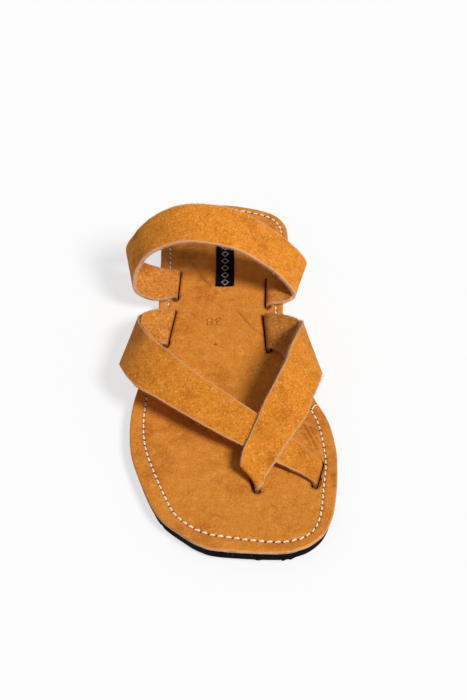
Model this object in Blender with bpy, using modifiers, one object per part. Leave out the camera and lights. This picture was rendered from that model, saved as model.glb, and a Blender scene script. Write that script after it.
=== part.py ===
"""Leather sandal for the right foot: rubber outsole, leather footbed with six slots, two crossed toe straps, an instep
strap and a label. The origin is on the ground under the middle of the heel, the toe points to -Y and the big toe's
side is +X."""

import math
from collections import namedtuple

import bmesh
import bpy
import numpy as np
from mathutils import Vector

# Sole, in metres
SOLE_LENGTH = 0.2545
BALL_WIDTH = 0.0975
WAIST_WIDTH = 0.0655
HEEL_WIDTH = 0.069
FOOTBED_THICKNESS = 0.0018
OUTSOLE_THICKNESS = 0.0051
OUTSOLE_INSET = 0.0005
OUTSOLE_DRAFT = 0.0008
EDGE_ROUND = 0.0005
TOE_SPRING = 0.0025
ARCH_LIFT = 0.0014

# Tread: grooves right across the rubber under the heel and the ball
GROOVE_DEPTH = 0.0012
GROOVE_WIDTH = 0.0022
GROOVE_PITCH = 0.0080

# Straps
STRAP_THICKNESS = 0.0020
TOE_STRAP_WIDTH = 0.0200
TOE_STRAP_RISE = 0.0250
INSTEP_STRAP_WIDTH = 0.0210
INSTEP_RISE = 0.0415
SLOT_CLEARANCE = 0.0003

# Label
LABEL_WIDTH = 0.0097
LABEL_LENGTH = 0.0350
LABEL_THICKNESS = 0.0005

# Every piece stands this far off the one that carries it
SEAT_GAP = 0.0003

# Points nearer than this are one point
WELD_DISTANCE = 1e-6

FOOTBED_UNDERSIDE = OUTSOLE_THICKNESS + SEAT_GAP
FOOTBED_TOP = FOOTBED_UNDERSIDE + FOOTBED_THICKNESS

# Outline of the footbed. Along is a share of the sole's length from the heel end, and lateral and medial are shares
# of the width that the row follows.
Outline = namedtuple("Outline", "along width lateral medial")
OUTLINE = (
    Outline(0.012, HEEL_WIDTH, 0.23, 0.21),
    Outline(0.035, HEEL_WIDTH, 0.385, 0.39),
    Outline(0.070, HEEL_WIDTH, 0.47, 0.48),
    Outline(0.115, HEEL_WIDTH, 0.50, 0.50),
    Outline(0.190, HEEL_WIDTH, 0.505, 0.48),
    Outline(0.320, WAIST_WIDTH, 0.545, 0.45),
    Outline(0.380, WAIST_WIDTH, 0.555, 0.44),
    Outline(0.470, WAIST_WIDTH, 0.61, 0.47),
    Outline(0.550, BALL_WIDTH, 0.457, 0.37),
    Outline(0.610, BALL_WIDTH, 0.490, 0.423),
    Outline(0.670, BALL_WIDTH, 0.505, 0.480),
    Outline(0.740, BALL_WIDTH, 0.499, 0.505),
    Outline(0.800, BALL_WIDTH, 0.463, 0.501),
    Outline(0.860, BALL_WIDTH, 0.412, 0.484),
    Outline(0.910, BALL_WIDTH, 0.352, 0.459),
    Outline(0.950, BALL_WIDTH, 0.256, 0.417),
    Outline(0.975, BALL_WIDTH, 0.178, 0.362),
    Outline(0.990, BALL_WIDTH, 0.078, 0.300),
)
HEEL_CENTRE = 0.14
BALL_CENTRE = 0.70
HEEL_END_ACROSS = -0.01 * HEEL_WIDTH
TOE_END_ACROSS = 0.19 * BALL_WIDTH
OUTLINE_STEPS = 4

# Where the sole leaves the ground, as shares of its length
HEEL_FLAT_END = 0.30
BALL_FLAT_START = 0.58
BALL_FLAT_END = 0.80
BEND_STRIPS = 48

# Stretches of the sole that have grooves, as shares of its length, with the lug that the pattern is centred on
TREAD_FIELDS = ((0.05, HEEL_CENTRE, 0.27), (0.60, BALL_CENTRE, 0.93))

# A strap is a run of folds, each a straight line across it. Along is where the fold's middle lies, as a share of the
# sole's length from the heel end, and across is a share of the sole's own half-width there (lateral below zero).
# Height is a share of the strap's rise above the footbed. The last four are shares of the strap's width: run is the
# fold's length along the foot, lean how far its toe end lies to the medial side, dip how far that end lies lower.
# Stack is how many thicknesses of leather higher a fold lies where one strap crosses another.
Fold = namedtuple("Fold", "along across height run lean dip stack", defaults=(0.0,))
INSTEP_FOLDS = (
    Fold(0.270, -0.74, 0.00, 0.98, -0.08, 0.00),
    Fold(0.283, -0.93, 0.09, 1.02, -0.04, 0.12),
    Fold(0.289, -1.16, 0.18, 1.00, 0.05, 0.27),
    Fold(0.289, -1.35, 0.29, 0.98, 0.13, 0.30),
    Fold(0.289, -1.40, 0.45, 0.95, 0.17, 0.36),
    Fold(0.289, -1.31, 0.67, 0.95, 0.10, 0.25),
    Fold(0.289, -1.09, 0.92, 0.95, 0.03, 0.28),
    Fold(0.289, -0.66, 1.10, 0.95, 0.05, 0.38),
    Fold(0.289, -0.19, 1.08, 0.95, 0.00, 0.47),
    Fold(0.289, 0.26, 0.95, 0.95, -0.02, 0.50),
    Fold(0.289, 0.76, 0.67, 0.95, -0.06, 0.50),
    Fold(0.289, 1.03, 0.46, 0.95, -0.15, 0.46),
    Fold(0.289, 1.20, 0.29, 0.96, -0.25, 0.40),
    Fold(0.291, 1.25, 0.16, 1.00, -0.35, 0.25),
    Fold(0.295, 1.07, 0.08, 1.02, -0.25, 0.12),
    Fold(0.298, 0.72, 0.00, 1.02, -0.07, 0.00),
)
UNDER_STRAP_FOLDS = (
    Fold(0.405, -0.81, 0.00, 1.33, -0.21, 0.00),
    Fold(0.425, -0.98, 0.17, 1.40, -0.20, 0.06),
    Fold(0.451, -1.15, 0.27, 1.52, -0.26, 0.10),
    Fold(0.473, -1.225, 0.35, 1.62, -0.42, 0.08),
    Fold(0.505, -1.17, 0.51, 1.43, -0.44, 0.22),
    Fold(0.550, -1.02, 0.70, 1.24, -0.43, 0.40),
    Fold(0.582, -0.88, 0.75, 1.20, -0.41, 0.44),
    Fold(0.611, -0.70, 0.77, 1.18, -0.33, 0.45),
    Fold(0.653, -0.43, 0.69, 1.07, -0.20, 0.46),
    Fold(0.692, -0.15, 0.58, 1.00, -0.18, 0.42),
    Fold(0.733, 0.17, 0.44, 0.82, -0.30, 0.32),
    Fold(0.766, 0.48, 0.24, 0.72, -0.32, 0.17),
    Fold(0.789, 0.69, 0.10, 0.70, -0.24, 0.04),
    Fold(0.809, 0.81, 0.00, 0.69, -0.19, 0.00),
)
OVER_STRAP_FOLDS = (
    Fold(0.425, 0.67, 0.00, 1.27, 0.03, 0.00),
    Fold(0.451, 0.91, 0.18, 1.42, 0.15, 0.10),
    Fold(0.480, 1.12, 0.30, 1.57, 0.24, 0.15),
    Fold(0.504, 1.22, 0.38, 1.68, 0.36, 0.20),
    Fold(0.532, 1.15, 0.54, 1.45, 0.42, 0.42),
    Fold(0.571, 0.99, 0.66, 1.38, 0.44, 0.53, 0.3),
    Fold(0.611, 0.82, 0.67, 1.26, 0.48, 0.58, 0.6),
    Fold(0.645, 0.70, 0.64, 1.12, 0.51, 0.66, 0.8),
    Fold(0.678, 0.58, 0.61, 1.00, 0.52, 0.66, 0.9),
    Fold(0.707, 0.48, 0.53, 0.84, 0.57, 0.54, 0.9),
    Fold(0.731, 0.40, 0.44, 0.77, 0.60, 0.38, 0.9),
    Fold(0.761, 0.31, 0.31, 0.72, 0.56, 0.30, 0.9),
    Fold(0.799, 0.20, 0.17, 0.57, 0.52, 0.33, 0.9),
    Fold(0.823, 0.17, 0.15, 0.48, 0.50, 0.25, 0.5),
    Fold(0.824, 0.18, 0.12, 0.58, 0.25, 0.10),
    Fold(0.820, 0.21, 0.00, 0.68, 0.04, 0.00),
)
FOLD_STEPS = 4
STRAP_COLUMNS = 4
SLOT_END_STEPS = 6

# Label, as shares of the sole's length and of its half-width
LABEL_ALONG = 0.207
LABEL_ACROSS = -0.01

LEATHER_FOOTBED = ((0.65, 0.25, 0.055, 1.0), 0.80)
LEATHER_STRAPS = ((0.72, 0.28, 0.06, 1.0), 0.82)
RUBBER = ((0.012, 0.010, 0.012, 1.0), 0.75)
WOVEN_TAPE = ((0.008, 0.008, 0.010, 1.0), 0.85)


def clear_scene():
    """Remove every object that the scene starts with."""
    for obj in list(bpy.data.objects):
        bpy.data.objects.remove(obj, do_unlink=True)


def new_collection(name):
    collection = bpy.data.collections.new(name)
    bpy.context.scene.collection.children.link(collection)
    return collection


def matt_material(name, colour, roughness):
    material = bpy.data.materials.new(name)
    material.use_nodes = True
    shader = material.node_tree.nodes["Principled BSDF"]
    shader.inputs["Base Color"].default_value = colour
    shader.inputs["Roughness"].default_value = roughness
    shader.inputs["Metallic"].default_value = 0.0
    return material


def y_at(along):
    """Place along the foot of a share of the sole's length."""
    return SOLE_LENGTH * (HEEL_CENTRE - along)


def along_at(y):
    return HEEL_CENTRE - y / SOLE_LENGTH


def smooth_through(points, steps):
    """Points of a Catmull-Rom curve from the second given point to the last but one, with this many steps to each."""
    points = np.asarray(points, float)
    result = []
    for before, start, end, after in zip(points, points[1:], points[2:], points[3:]):
        leaving, arriving = (end - before) / 2, (after - start) / 2
        for step in range(steps):
            t = step / steps
            chord = (2 * t**3 - 3 * t**2 + 1) * start + (3 * t**2 - 2 * t**3) * end
            result.append(chord + (t**3 - 2 * t**2 + t) * leaving + (t**3 - t**2) * arriving)
    result.append(points[-2])
    return np.array(result)


def footbed_outline():
    """The footbed's edge as a closed run of points, from the heel end down the medial side and back up the lateral."""
    medial = [(row.medial * row.width, y_at(row.along)) for row in OUTLINE]
    lateral = [(-row.lateral * row.width, y_at(row.along)) for row in OUTLINE]
    heel_end = [(HEEL_END_ACROSS, y_at(0))]
    toe_end = [(TOE_END_ACROSS, y_at(1))]
    ring = heel_end + medial + toe_end + lateral[::-1]
    return smooth_through(ring[-1:] + ring + ring[:2], OUTLINE_STEPS)[:-1]


EDGE = footbed_outline()
TOE_ROW = OUTLINE_STEPS * (len(OUTLINE) + 1)
MEDIAL_EDGE = EDGE[: TOE_ROW + 1]
LATERAL_EDGE = np.vstack([EDGE[TOE_ROW:], EDGE[:1]])


def half_width_at(y, medial):
    """Distance from the centre line to the footbed's edge on one side."""
    if medial:
        return float(np.interp(-y, -MEDIAL_EDGE[:, 1], MEDIAL_EDGE[:, 0]))
    return -float(np.interp(y, LATERAL_EDGE[:, 1], LATERAL_EDGE[:, 0]))


def smooth_rise(along):
    """How far the sole lifts off the ground: none under heel and ball, an arch between them, and the toe spring."""
    if HEEL_FLAT_END < along < BALL_FLAT_START:
        share = (along - HEEL_FLAT_END) / (BALL_FLAT_START - HEEL_FLAT_END)
        return ARCH_LIFT * math.sin(math.pi * share) ** 2
    if along > BALL_FLAT_END:
        return TOE_SPRING * ((along - BALL_FLAT_END) / (1 - BALL_FLAT_END)) ** 2
    return 0.0


STATIONS = [y_at(1 - i / BEND_STRIPS) for i in range(BEND_STRIPS + 1)]
STATION_RISES = [smooth_rise(along_at(y)) for y in STATIONS]


def rise_at(y):
    """The rise, straight from each bend station to the next, so that every strip of the sole is flat."""
    return float(np.interp(y, STATIONS, STATION_RISES))


def flat_slab(name, points, bottom, top):
    """A closed prism over a flat outline, made from a filled curve."""
    curve = bpy.data.curves.new(name, "CURVE")
    curve.dimensions = "2D"
    curve.fill_mode = "BOTH"
    curve.extrude = (top - bottom) / 2
    spline = curve.splines.new("POLY")
    spline.points.add(len(points) - 1)
    for target, (x, y) in zip(spline.points, points):
        target.co = (x, y, 0, 1)
    spline.use_cyclic_u = True
    drawn = bpy.data.objects.new(name + "_curve", curve)
    bpy.context.scene.collection.objects.link(drawn)
    bpy.context.view_layer.update()
    evaluated = drawn.evaluated_get(bpy.context.evaluated_depsgraph_get())
    mesh = bpy.data.meshes.new_from_object(evaluated)
    mesh.name = name
    bpy.data.objects.remove(drawn, do_unlink=True)
    shape = bmesh.new()
    shape.from_mesh(mesh)
    bmesh.ops.remove_doubles(shape, verts=shape.verts, dist=WELD_DISTANCE)
    bmesh.ops.translate(shape, verts=shape.verts, vec=(0, 0, (top + bottom) / 2))
    bmesh.ops.recalc_face_normals(shape, faces=shape.faces)
    shape.to_mesh(mesh)
    shape.free()
    return mesh


def bend_to_rise(mesh):
    """Cut the mesh across at every bend station and lift it by the sole's rise."""
    shape = bmesh.new()
    shape.from_mesh(mesh)
    for y in STATIONS[1:-1]:
        everything = shape.verts[:] + shape.edges[:] + shape.faces[:]
        bmesh.ops.bisect_plane(
            shape, geom=everything, plane_co=(0, y, 0), plane_no=(0, 1, 0), dist=WELD_DISTANCE
        )
    for vert in shape.verts:
        vert.co.z += rise_at(vert.co.y)
    shape.to_mesh(mesh)
    shape.free()


def inset_outline(points, distance):
    """The outline moved inwards by a distance, each point along its own normal."""
    ahead = np.roll(points, -1, axis=0)
    behind = np.roll(points, 1, axis=0)
    along = ahead - behind
    along /= np.linalg.norm(along, axis=1)[:, None]
    centre = points.mean(axis=0)
    inwards = np.stack([-along[:, 1], along[:, 0]], axis=1)
    if ((centre - points) * inwards).sum() < 0:
        inwards = -inwards
    return points + distance * inwards


def new_object(name, mesh, collection, material=None):
    obj = bpy.data.objects.new(name, mesh)
    collection.objects.link(obj)
    if material:
        mesh.materials.clear()
        mesh.materials.append(material)
    return obj


def hide_as_cutter(obj):
    obj.hide_render = True
    obj.display_type = "WIRE"


def cut_with(obj, cutter, operation="DIFFERENCE"):
    hide_as_cutter(cutter)
    modifier = obj.modifiers.new(cutter.name, "BOOLEAN")
    modifier.operation = operation
    modifier.object = cutter
    modifier.solver = "EXACT"


def groove_places():
    """Where the tread's grooves lie along the foot, out to both sides from each field's middle lug."""
    places = []
    for start, middle, end in TREAD_FIELDS:
        for side, reach in ((1, middle - start), (-1, end - middle)):
            count = int(SOLE_LENGTH * reach / GROOVE_PITCH + 0.5)
            places += [y_at(middle) + side * (i + 0.5) * GROOVE_PITCH for i in range(count)]
    return places


def make_groove_cutter(collection):
    """Bars across the sole, one for each groove, that follow the sole's rise."""
    shape = bmesh.new()
    for y in groove_places():
        centre = Vector((0, y, rise_at(y)))
        bar = bmesh.ops.create_cube(shape, size=1)["verts"]
        bmesh.ops.scale(shape, verts=bar, vec=(2 * BALL_WIDTH, GROOVE_WIDTH, 2 * GROOVE_DEPTH))
        bmesh.ops.translate(shape, verts=bar, vec=centre)
    mesh = bpy.data.meshes.new("tread_grooves")
    shape.to_mesh(mesh)
    shape.free()
    return new_object("tread_grooves", mesh, collection)


def make_outsole(parts, cutters):
    """Rubber sheet, set back from the leather and drawn in towards the ground, with grooves across heel and ball."""
    upper_edge = inset_outline(EDGE, OUTSOLE_INSET)
    mesh = flat_slab("outsole", upper_edge, 0, OUTSOLE_THICKNESS)
    lower_edge = inset_outline(upper_edge, OUTSOLE_DRAFT)
    for vert in mesh.vertices:
        if vert.co.z < OUTSOLE_THICKNESS / 2:
            nearest = np.argmin(np.hypot(upper_edge[:, 0] - vert.co.x, upper_edge[:, 1] - vert.co.y))
            vert.co.x, vert.co.y = lower_edge[nearest]
    bend_to_rise(mesh)
    outsole = new_object("outsole", mesh, parts, matt_material("rubber", *RUBBER))
    cut_with(outsole, make_groove_cutter(cutters))
    return outsole


def fold_ends(fold, rise, width):
    """Heel end and toe end of a fold."""
    y = y_at(fold.along)
    x = fold.across * half_width_at(y, fold.across > 0)
    height = fold.height * rise + fold.stack * STRAP_THICKNESS
    middle = Vector((x, y, FOOTBED_TOP + rise_at(y) + height))
    reach = Vector((fold.lean, -fold.run, -fold.dip)) * width / 2
    return middle - reach, middle + reach


def upright_from(end_row, next_row):
    """The point before a curve's end that makes it leave that end straight upwards."""
    beyond = next_row.copy()
    for height in (2, 5):
        place = slice(height - 2, height + 1)
        beyond[height] -= 2 * np.linalg.norm(next_row[place] - end_row[place])
    return beyond


def strap_rows(folds, rise, width):
    """Rows of heel end and toe end along a strap, upright through both slots and smooth between them."""
    ends = [fold_ends(fold, rise, width) for fold in folds]
    rows = np.array([[*heel_end, *toe_end] for heel_end, toe_end in ends])
    before = upright_from(rows[0], rows[1])
    after = upright_from(rows[-1], rows[-2])
    curve = smooth_through([before, *rows, after], FOLD_STEPS)
    down = np.array([0, 0, FOOTBED_THICKNESS] * 2)
    return np.vstack([curve[0] - down, curve, curve[-1] - down])


def make_strap(name, folds, rise, width, collection, material):
    """An open surface over the rows, given the leather's thickness."""
    rows = strap_rows(folds, rise, width)
    shape = bmesh.new()
    grid = []
    for row in rows:
        heel_end, toe_end = Vector(row[:3]), Vector(row[3:])
        grid.append([shape.verts.new(heel_end.lerp(toe_end, i / STRAP_COLUMNS)) for i in range(STRAP_COLUMNS + 1)])
    for one, other in zip(grid, grid[1:]):
        for i in range(STRAP_COLUMNS):
            shape.faces.new((one[i], one[i + 1], other[i + 1], other[i]))
    mesh = bpy.data.meshes.new(name)
    shape.to_mesh(mesh)
    shape.free()
    strap = new_object(name, mesh, collection, material)
    wall = strap.modifiers.new("wall", "SOLIDIFY")
    wall.thickness = STRAP_THICKNESS
    wall.offset = 0
    wall.use_even_offset = True
    mesh.shade_smooth()
    return strap


def slot_outline(heel_end, toe_end):
    """A slot with round ends around the foot of a strap."""
    radius = STRAP_THICKNESS / 2 + SLOT_CLEARANCE
    start, end = Vector(heel_end[:2]), Vector(toe_end[:2])
    forward = (end - start).normalized()
    angle = math.atan2(forward.y, forward.x)
    points = []
    for centre, turn in ((end, -math.pi / 2), (start, math.pi / 2)):
        for i in range(SLOT_END_STEPS + 1):
            around = angle + turn + math.pi * i / SLOT_END_STEPS
            points.append((centre.x + radius * math.cos(around), centre.y + radius * math.sin(around)))
    return points


def make_footbed(parts, cutters):
    """Leather footbed with a softened edge and a slot for the foot of every strap."""
    mesh = flat_slab("footbed", EDGE, FOOTBED_UNDERSIDE, FOOTBED_TOP)
    bend_to_rise(mesh)
    footbed = new_object("footbed", mesh, parts, matt_material("footbed_leather", *LEATHER_FOOTBED))
    soften = footbed.modifiers.new("soften", "BEVEL")
    soften.width = EDGE_ROUND
    soften.segments = 1
    soften.limit_method = "ANGLE"
    soften.angle_limit = math.radians(60)
    straps = (
        ("instep", INSTEP_FOLDS, INSTEP_RISE, INSTEP_STRAP_WIDTH),
        ("under", UNDER_STRAP_FOLDS, TOE_STRAP_RISE, TOE_STRAP_WIDTH),
        ("over", OVER_STRAP_FOLDS, TOE_STRAP_RISE, TOE_STRAP_WIDTH),
    )
    for name, folds, rise, width in straps:
        for end, fold in (("start", folds[0]), ("end", folds[-1])):
            outline = slot_outline(*fold_ends(fold, rise, width))
            slot = flat_slab(f"slot_{name}_{end}", outline, 0, 2 * FOOTBED_TOP)
            cut_with(footbed, new_object(f"slot_{name}_{end}", slot, cutters))
    mesh.shade_smooth()
    mesh.set_sharp_from_angle(angle=math.radians(40))
    return footbed


def make_toe_straps(parts, cutters):
    """The two crossed straps, joined where the upper one lies on the lower."""
    leather = matt_material("toe_strap_leather", *LEATHER_STRAPS)
    size = (TOE_STRAP_RISE, TOE_STRAP_WIDTH)
    under = make_strap("toe_straps", UNDER_STRAP_FOLDS, *size, parts, leather)
    over = make_strap("over_strap", OVER_STRAP_FOLDS, *size, cutters, leather)
    cut_with(under, over, "UNION")
    return under


def make_label(parts):
    """A thin tape that lies on the heel of the footbed."""
    y = y_at(LABEL_ALONG)
    x = LABEL_ACROSS * half_width_at(y, False)
    half = Vector((LABEL_WIDTH / 2, LABEL_LENGTH / 2))
    corners = [(x + sx * half.x, y + sy * half.y) for sx, sy in ((-1, -1), (1, -1), (1, 1), (-1, 1))]
    seat = FOOTBED_TOP + SEAT_GAP
    mesh = flat_slab("label", corners, seat, seat + LABEL_THICKNESS)
    return new_object("label", mesh, parts, matt_material("woven_tape", *WOVEN_TAPE))


def main():
    clear_scene()
    parts = new_collection("leather_sandal")
    cutters = new_collection("cutters")
    make_outsole(parts, cutters)
    make_footbed(parts, cutters)
    make_toe_straps(parts, cutters)
    strap_leather = matt_material("instep_strap_leather", *LEATHER_STRAPS)
    make_strap("instep_strap", INSTEP_FOLDS, INSTEP_RISE, INSTEP_STRAP_WIDTH, parts, strap_leather)
    make_label(parts)


main()
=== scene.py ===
"""Looks of a right leather sandal: rubber outsole, stitched nubuck footbed, rolled straps and a woven label.

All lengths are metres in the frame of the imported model: the origin lies on the ground under the heel, the
toe points to -Y and the big toe's side is +X. Places on the foot are shares: along is a share of the sole's
length from the heel end, and across a share of its half-width there, with the lateral side below zero.
"""

import logging
import math
from dataclasses import dataclass, field
from enum import Enum, IntEnum
from typing import Any, NamedTuple

import bmesh
import bpy
import numpy as np
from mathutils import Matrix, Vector, geometry, kdtree, noise


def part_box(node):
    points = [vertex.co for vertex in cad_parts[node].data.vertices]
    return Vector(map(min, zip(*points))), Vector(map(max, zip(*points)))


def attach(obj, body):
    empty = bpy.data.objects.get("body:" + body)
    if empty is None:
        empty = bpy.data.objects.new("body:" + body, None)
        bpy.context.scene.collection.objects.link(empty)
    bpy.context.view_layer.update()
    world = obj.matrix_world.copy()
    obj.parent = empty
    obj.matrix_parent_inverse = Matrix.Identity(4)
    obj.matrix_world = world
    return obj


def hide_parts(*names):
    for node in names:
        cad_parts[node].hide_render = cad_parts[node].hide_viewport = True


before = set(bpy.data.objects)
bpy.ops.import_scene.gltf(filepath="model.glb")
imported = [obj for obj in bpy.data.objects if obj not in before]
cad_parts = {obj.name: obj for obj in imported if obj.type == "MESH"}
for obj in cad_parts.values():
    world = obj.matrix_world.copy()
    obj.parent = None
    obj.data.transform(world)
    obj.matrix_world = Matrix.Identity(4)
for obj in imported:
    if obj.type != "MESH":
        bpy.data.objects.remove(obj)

log = logging.getLogger("sandal")

Points = np.ndarray
Colour = tuple[float, float, float, float]

ROOT = "root"

STITCH_SEED = 11
HOLE_SEED = 12
FRAY_SEED = 20
EDGE_SAMPLES = 1300

HEEL_CENTRE = 0.14
OUTSOLE_THICKNESS = 0.0051
SEAT_GAP = 0.0003
FOOTBED_THICKNESS = 0.0018
FOOTBED_UNDERSIDE = OUTSOLE_THICKNESS + SEAT_GAP
FOOTBED_TOP = FOOTBED_UNDERSIDE + FOOTBED_THICKNESS
STRAP_THICKNESS = 0.0020
SLOT_CLEARANCE = 0.0003
SLOT_WEAR = 0.0003


class Zone(Enum):
    """Stretch of the foot whose width an outline row follows."""

    HEEL = "heel"
    WAIST = "waist"
    BALL = "ball"


class Side(Enum):
    """Side of the foot."""

    LATERAL = -1
    MEDIAL = 1


class Skin(IntEnum):
    """Material slots of a leather piece."""

    FACE = 0
    EDGE = 1
    FLESH = 2
    SLOT = 3


class OutlineRow(NamedTuple):
    """One pair of edge points, as shares of the width that the row follows."""

    along: float
    zone: Zone
    lateral: float
    medial: float


class Fold(NamedTuple):
    """A straight line across a strap.

    Run, lean and dip are shares of the strap's width, and height is a share of its rise. Stack lifts the
    line by that share of a strap's thickness, where it lies on the other strap.
    """

    along: float
    across: float
    height: float
    run: float
    lean: float
    dip: float
    stack: float = 0.0


class SeamRow(NamedTuple):
    """How far the seam lies inside the footbed's edge."""

    along: float
    lateral: float
    medial: float


class Mark(NamedTuple):
    """A crease, scratch or nick in the footbed, from one place on the foot to another.

    Sway is how far it bends aside half-way, and tone is how dark it is, or how pale below zero.
    """

    along: float
    across: float
    end_along: float
    end_across: float
    width: float
    depth: float
    sway: float = 0.0
    tone: float = 0.5


class Wrinkle(NamedTuple):
    """A soft trough right across a strap, at a share of its run from its first slot to its second.

    Slant is how much further its toe end lies, as a share of the run, and depth below zero is a ridge.
    """

    run: float
    slant: float
    width: float
    depth: float


OUTLINE = (
    OutlineRow(0.012, Zone.HEEL, 0.23, 0.21),
    OutlineRow(0.035, Zone.HEEL, 0.385, 0.39),
    OutlineRow(0.070, Zone.HEEL, 0.47, 0.48),
    OutlineRow(0.115, Zone.HEEL, 0.50, 0.50),
    OutlineRow(0.190, Zone.HEEL, 0.505, 0.48),
    OutlineRow(0.320, Zone.WAIST, 0.545, 0.45),
    OutlineRow(0.380, Zone.WAIST, 0.555, 0.44),
    OutlineRow(0.470, Zone.WAIST, 0.61, 0.47),
    OutlineRow(0.550, Zone.BALL, 0.457, 0.37),
    OutlineRow(0.610, Zone.BALL, 0.490, 0.423),
    OutlineRow(0.670, Zone.BALL, 0.505, 0.480),
    OutlineRow(0.740, Zone.BALL, 0.499, 0.505),
    OutlineRow(0.800, Zone.BALL, 0.463, 0.501),
    OutlineRow(0.860, Zone.BALL, 0.412, 0.484),
    OutlineRow(0.910, Zone.BALL, 0.352, 0.459),
    OutlineRow(0.950, Zone.BALL, 0.256, 0.417),
    OutlineRow(0.975, Zone.BALL, 0.178, 0.362),
    OutlineRow(0.990, Zone.BALL, 0.078, 0.300),
)

SEAM_ROWS = (
    SeamRow(0.00, 0.0038, 0.0038),
    SeamRow(0.05, 0.0040, 0.0034),
    SeamRow(0.18, 0.0052, 0.0040),
    SeamRow(0.40, 0.0046, 0.0040),
    SeamRow(0.62, 0.0060, 0.0050),
    SeamRow(0.70, 0.0065, 0.0057),
    SeamRow(0.755, 0.0074, 0.0060),
    SeamRow(0.785, 0.0076, 0.0054),
    SeamRow(0.83, 0.0078, 0.0064),
    SeamRow(0.88, 0.0075, 0.0063),
    SeamRow(0.92, 0.0067, 0.0056),
    SeamRow(0.95, 0.0061, 0.0051),
    SeamRow(0.975, 0.0076, 0.0051),
    SeamRow(0.99, 0.0086, 0.0056),
    SeamRow(1.00, 0.0066, 0.0066),
)

MARKS = (
    Mark(0.159, -0.645, 0.201, -0.507, 0.0010, 0.00016, 0.0006, 0.22),
    Mark(0.201, -0.507, 0.243, -0.372, 0.0009, 0.00020, 0.0003, 0.32),
    Mark(0.243, -0.372, 0.295, -0.165, 0.0008, 0.00022, 0.0007, 0.40),
    Mark(0.330, -0.140, 0.348, -0.060, 0.0007, 0.00014, 0.0002, 0.25),
    Mark(0.352, 0.163, 0.384, 0.310, 0.0006, 0.00026, 0.0003, 0.55),
    Mark(0.388, 0.330, 0.416, 0.478, 0.0007, 0.00024, -0.0003, 0.50),
    Mark(0.420, 0.500, 0.446, 0.639, 0.0009, 0.00020, 0.0004, 0.35),
    Mark(0.682, 0.738, 0.742, 0.809, 0.0004, 0.00026, 0.0003, 0.70),
    Mark(0.685, 0.787, 0.726, 0.839, 0.0004, 0.00018, 0.0001, 0.45),
    Mark(0.702, 0.700, 0.733, 0.760, 0.0005, 0.00014, 0.0002, 0.35),
    Mark(0.674, 0.778, 0.690, 0.865, 0.0006, 0.00012, 0.0002, -0.45),
    Mark(0.501, -0.332, 0.479, -0.246, 0.0005, 0.00006, 0.0001, -0.40),
    Mark(0.454, -0.171, 0.456, -0.175, 0.0006, 0.00030, 0.0000, 0.80),
    Mark(0.924, 0.496, 0.931, 0.546, 0.0006, 0.00006, 0.0001, -0.40),
    Mark(0.882, 0.360, 0.893, 0.420, 0.0007, 0.00010, 0.0003, 0.35),
    Mark(0.570, -0.620, 0.552, -0.520, 0.0006, 0.00008, 0.0002, 0.30),
    Mark(0.810, 0.960, 0.838, 0.975, 0.0013, 0.00010, 0.0003, 0.45),
    Mark(0.120, 0.330, 0.168, 0.390, 0.0009, 0.00010, 0.0005, 0.25),
    Mark(0.905, -0.310, 0.912, -0.180, 0.0012, 0.00010, 0.0006, 0.25),
)
# Nicks at the slots' ends: their full tone paints the shade inside each cut.
SLOT_NICKS = (
    Mark(0.290, -0.770, 0.308, -0.721, 0.0005, 0.0009, 0.0004, 1.0),
    Mark(0.365, -0.790, 0.353, -0.757, 0.0005, 0.0009, 0.0003, 1.0),
    Mark(0.444, -0.775, 0.457, -0.801, 0.0005, 0.0009, 0.0002, 1.0),
    Mark(0.385, 0.665, 0.374, 0.700, 0.0005, 0.0009, -0.0002, 1.0),
    Mark(0.464, 0.664, 0.481, 0.609, 0.0005, 0.0008, 0.0003, 1.0),
    Mark(0.327, 0.673, 0.349, 0.705, 0.0005, 0.0009, 0.0003, 1.0),
    Mark(0.815, 0.160, 0.846, 0.172, 0.0005, 0.0010, 0.0002, 1.0),
    Mark(0.847, 0.178, 0.847, 0.272, 0.0004, 0.0009, 0.0001, 1.0),
    Mark(0.816, 0.835, 0.836, 0.828, 0.0005, 0.0009, 0.0002, 1.0),
    Mark(0.836, 0.825, 0.841, 0.790, 0.0004, 0.0008, 0.0001, 1.0),
)

INSTEP_WRINKLES = (
    Wrinkle(0.215, 0.010, 0.0030, 0.00030),
    Wrinkle(0.238, 0.014, 0.0020, -0.00016),
    Wrinkle(0.262, 0.008, 0.0026, 0.00022),
    Wrinkle(0.470, -0.020, 0.0060, 0.00022),
    Wrinkle(0.735, 0.012, 0.0030, 0.00024),
    Wrinkle(0.772, 0.010, 0.0024, 0.00020),
)
UNDER_STRAP_WRINKLES = (
    Wrinkle(0.200, 0.012, 0.0028, 0.00026),
    Wrinkle(0.232, 0.018, 0.0024, 0.00022),
    Wrinkle(0.420, -0.020, 0.0060, 0.00020),
    Wrinkle(0.640, 0.015, 0.0050, 0.00018),
    Wrinkle(0.905, 0.006, 0.0020, 0.00020),
)
OVER_STRAP_WRINKLES = (
    Wrinkle(0.200, 0.010, 0.0028, 0.00026),
    Wrinkle(0.236, 0.012, 0.0022, 0.00018),
    Wrinkle(0.450, 0.020, 0.0060, 0.00022),
    Wrinkle(0.700, -0.015, 0.0040, 0.00018),
    Wrinkle(0.880, 0.010, 0.0018, 0.00024),
    Wrinkle(0.915, 0.010, 0.0016, 0.00020),
)

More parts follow.
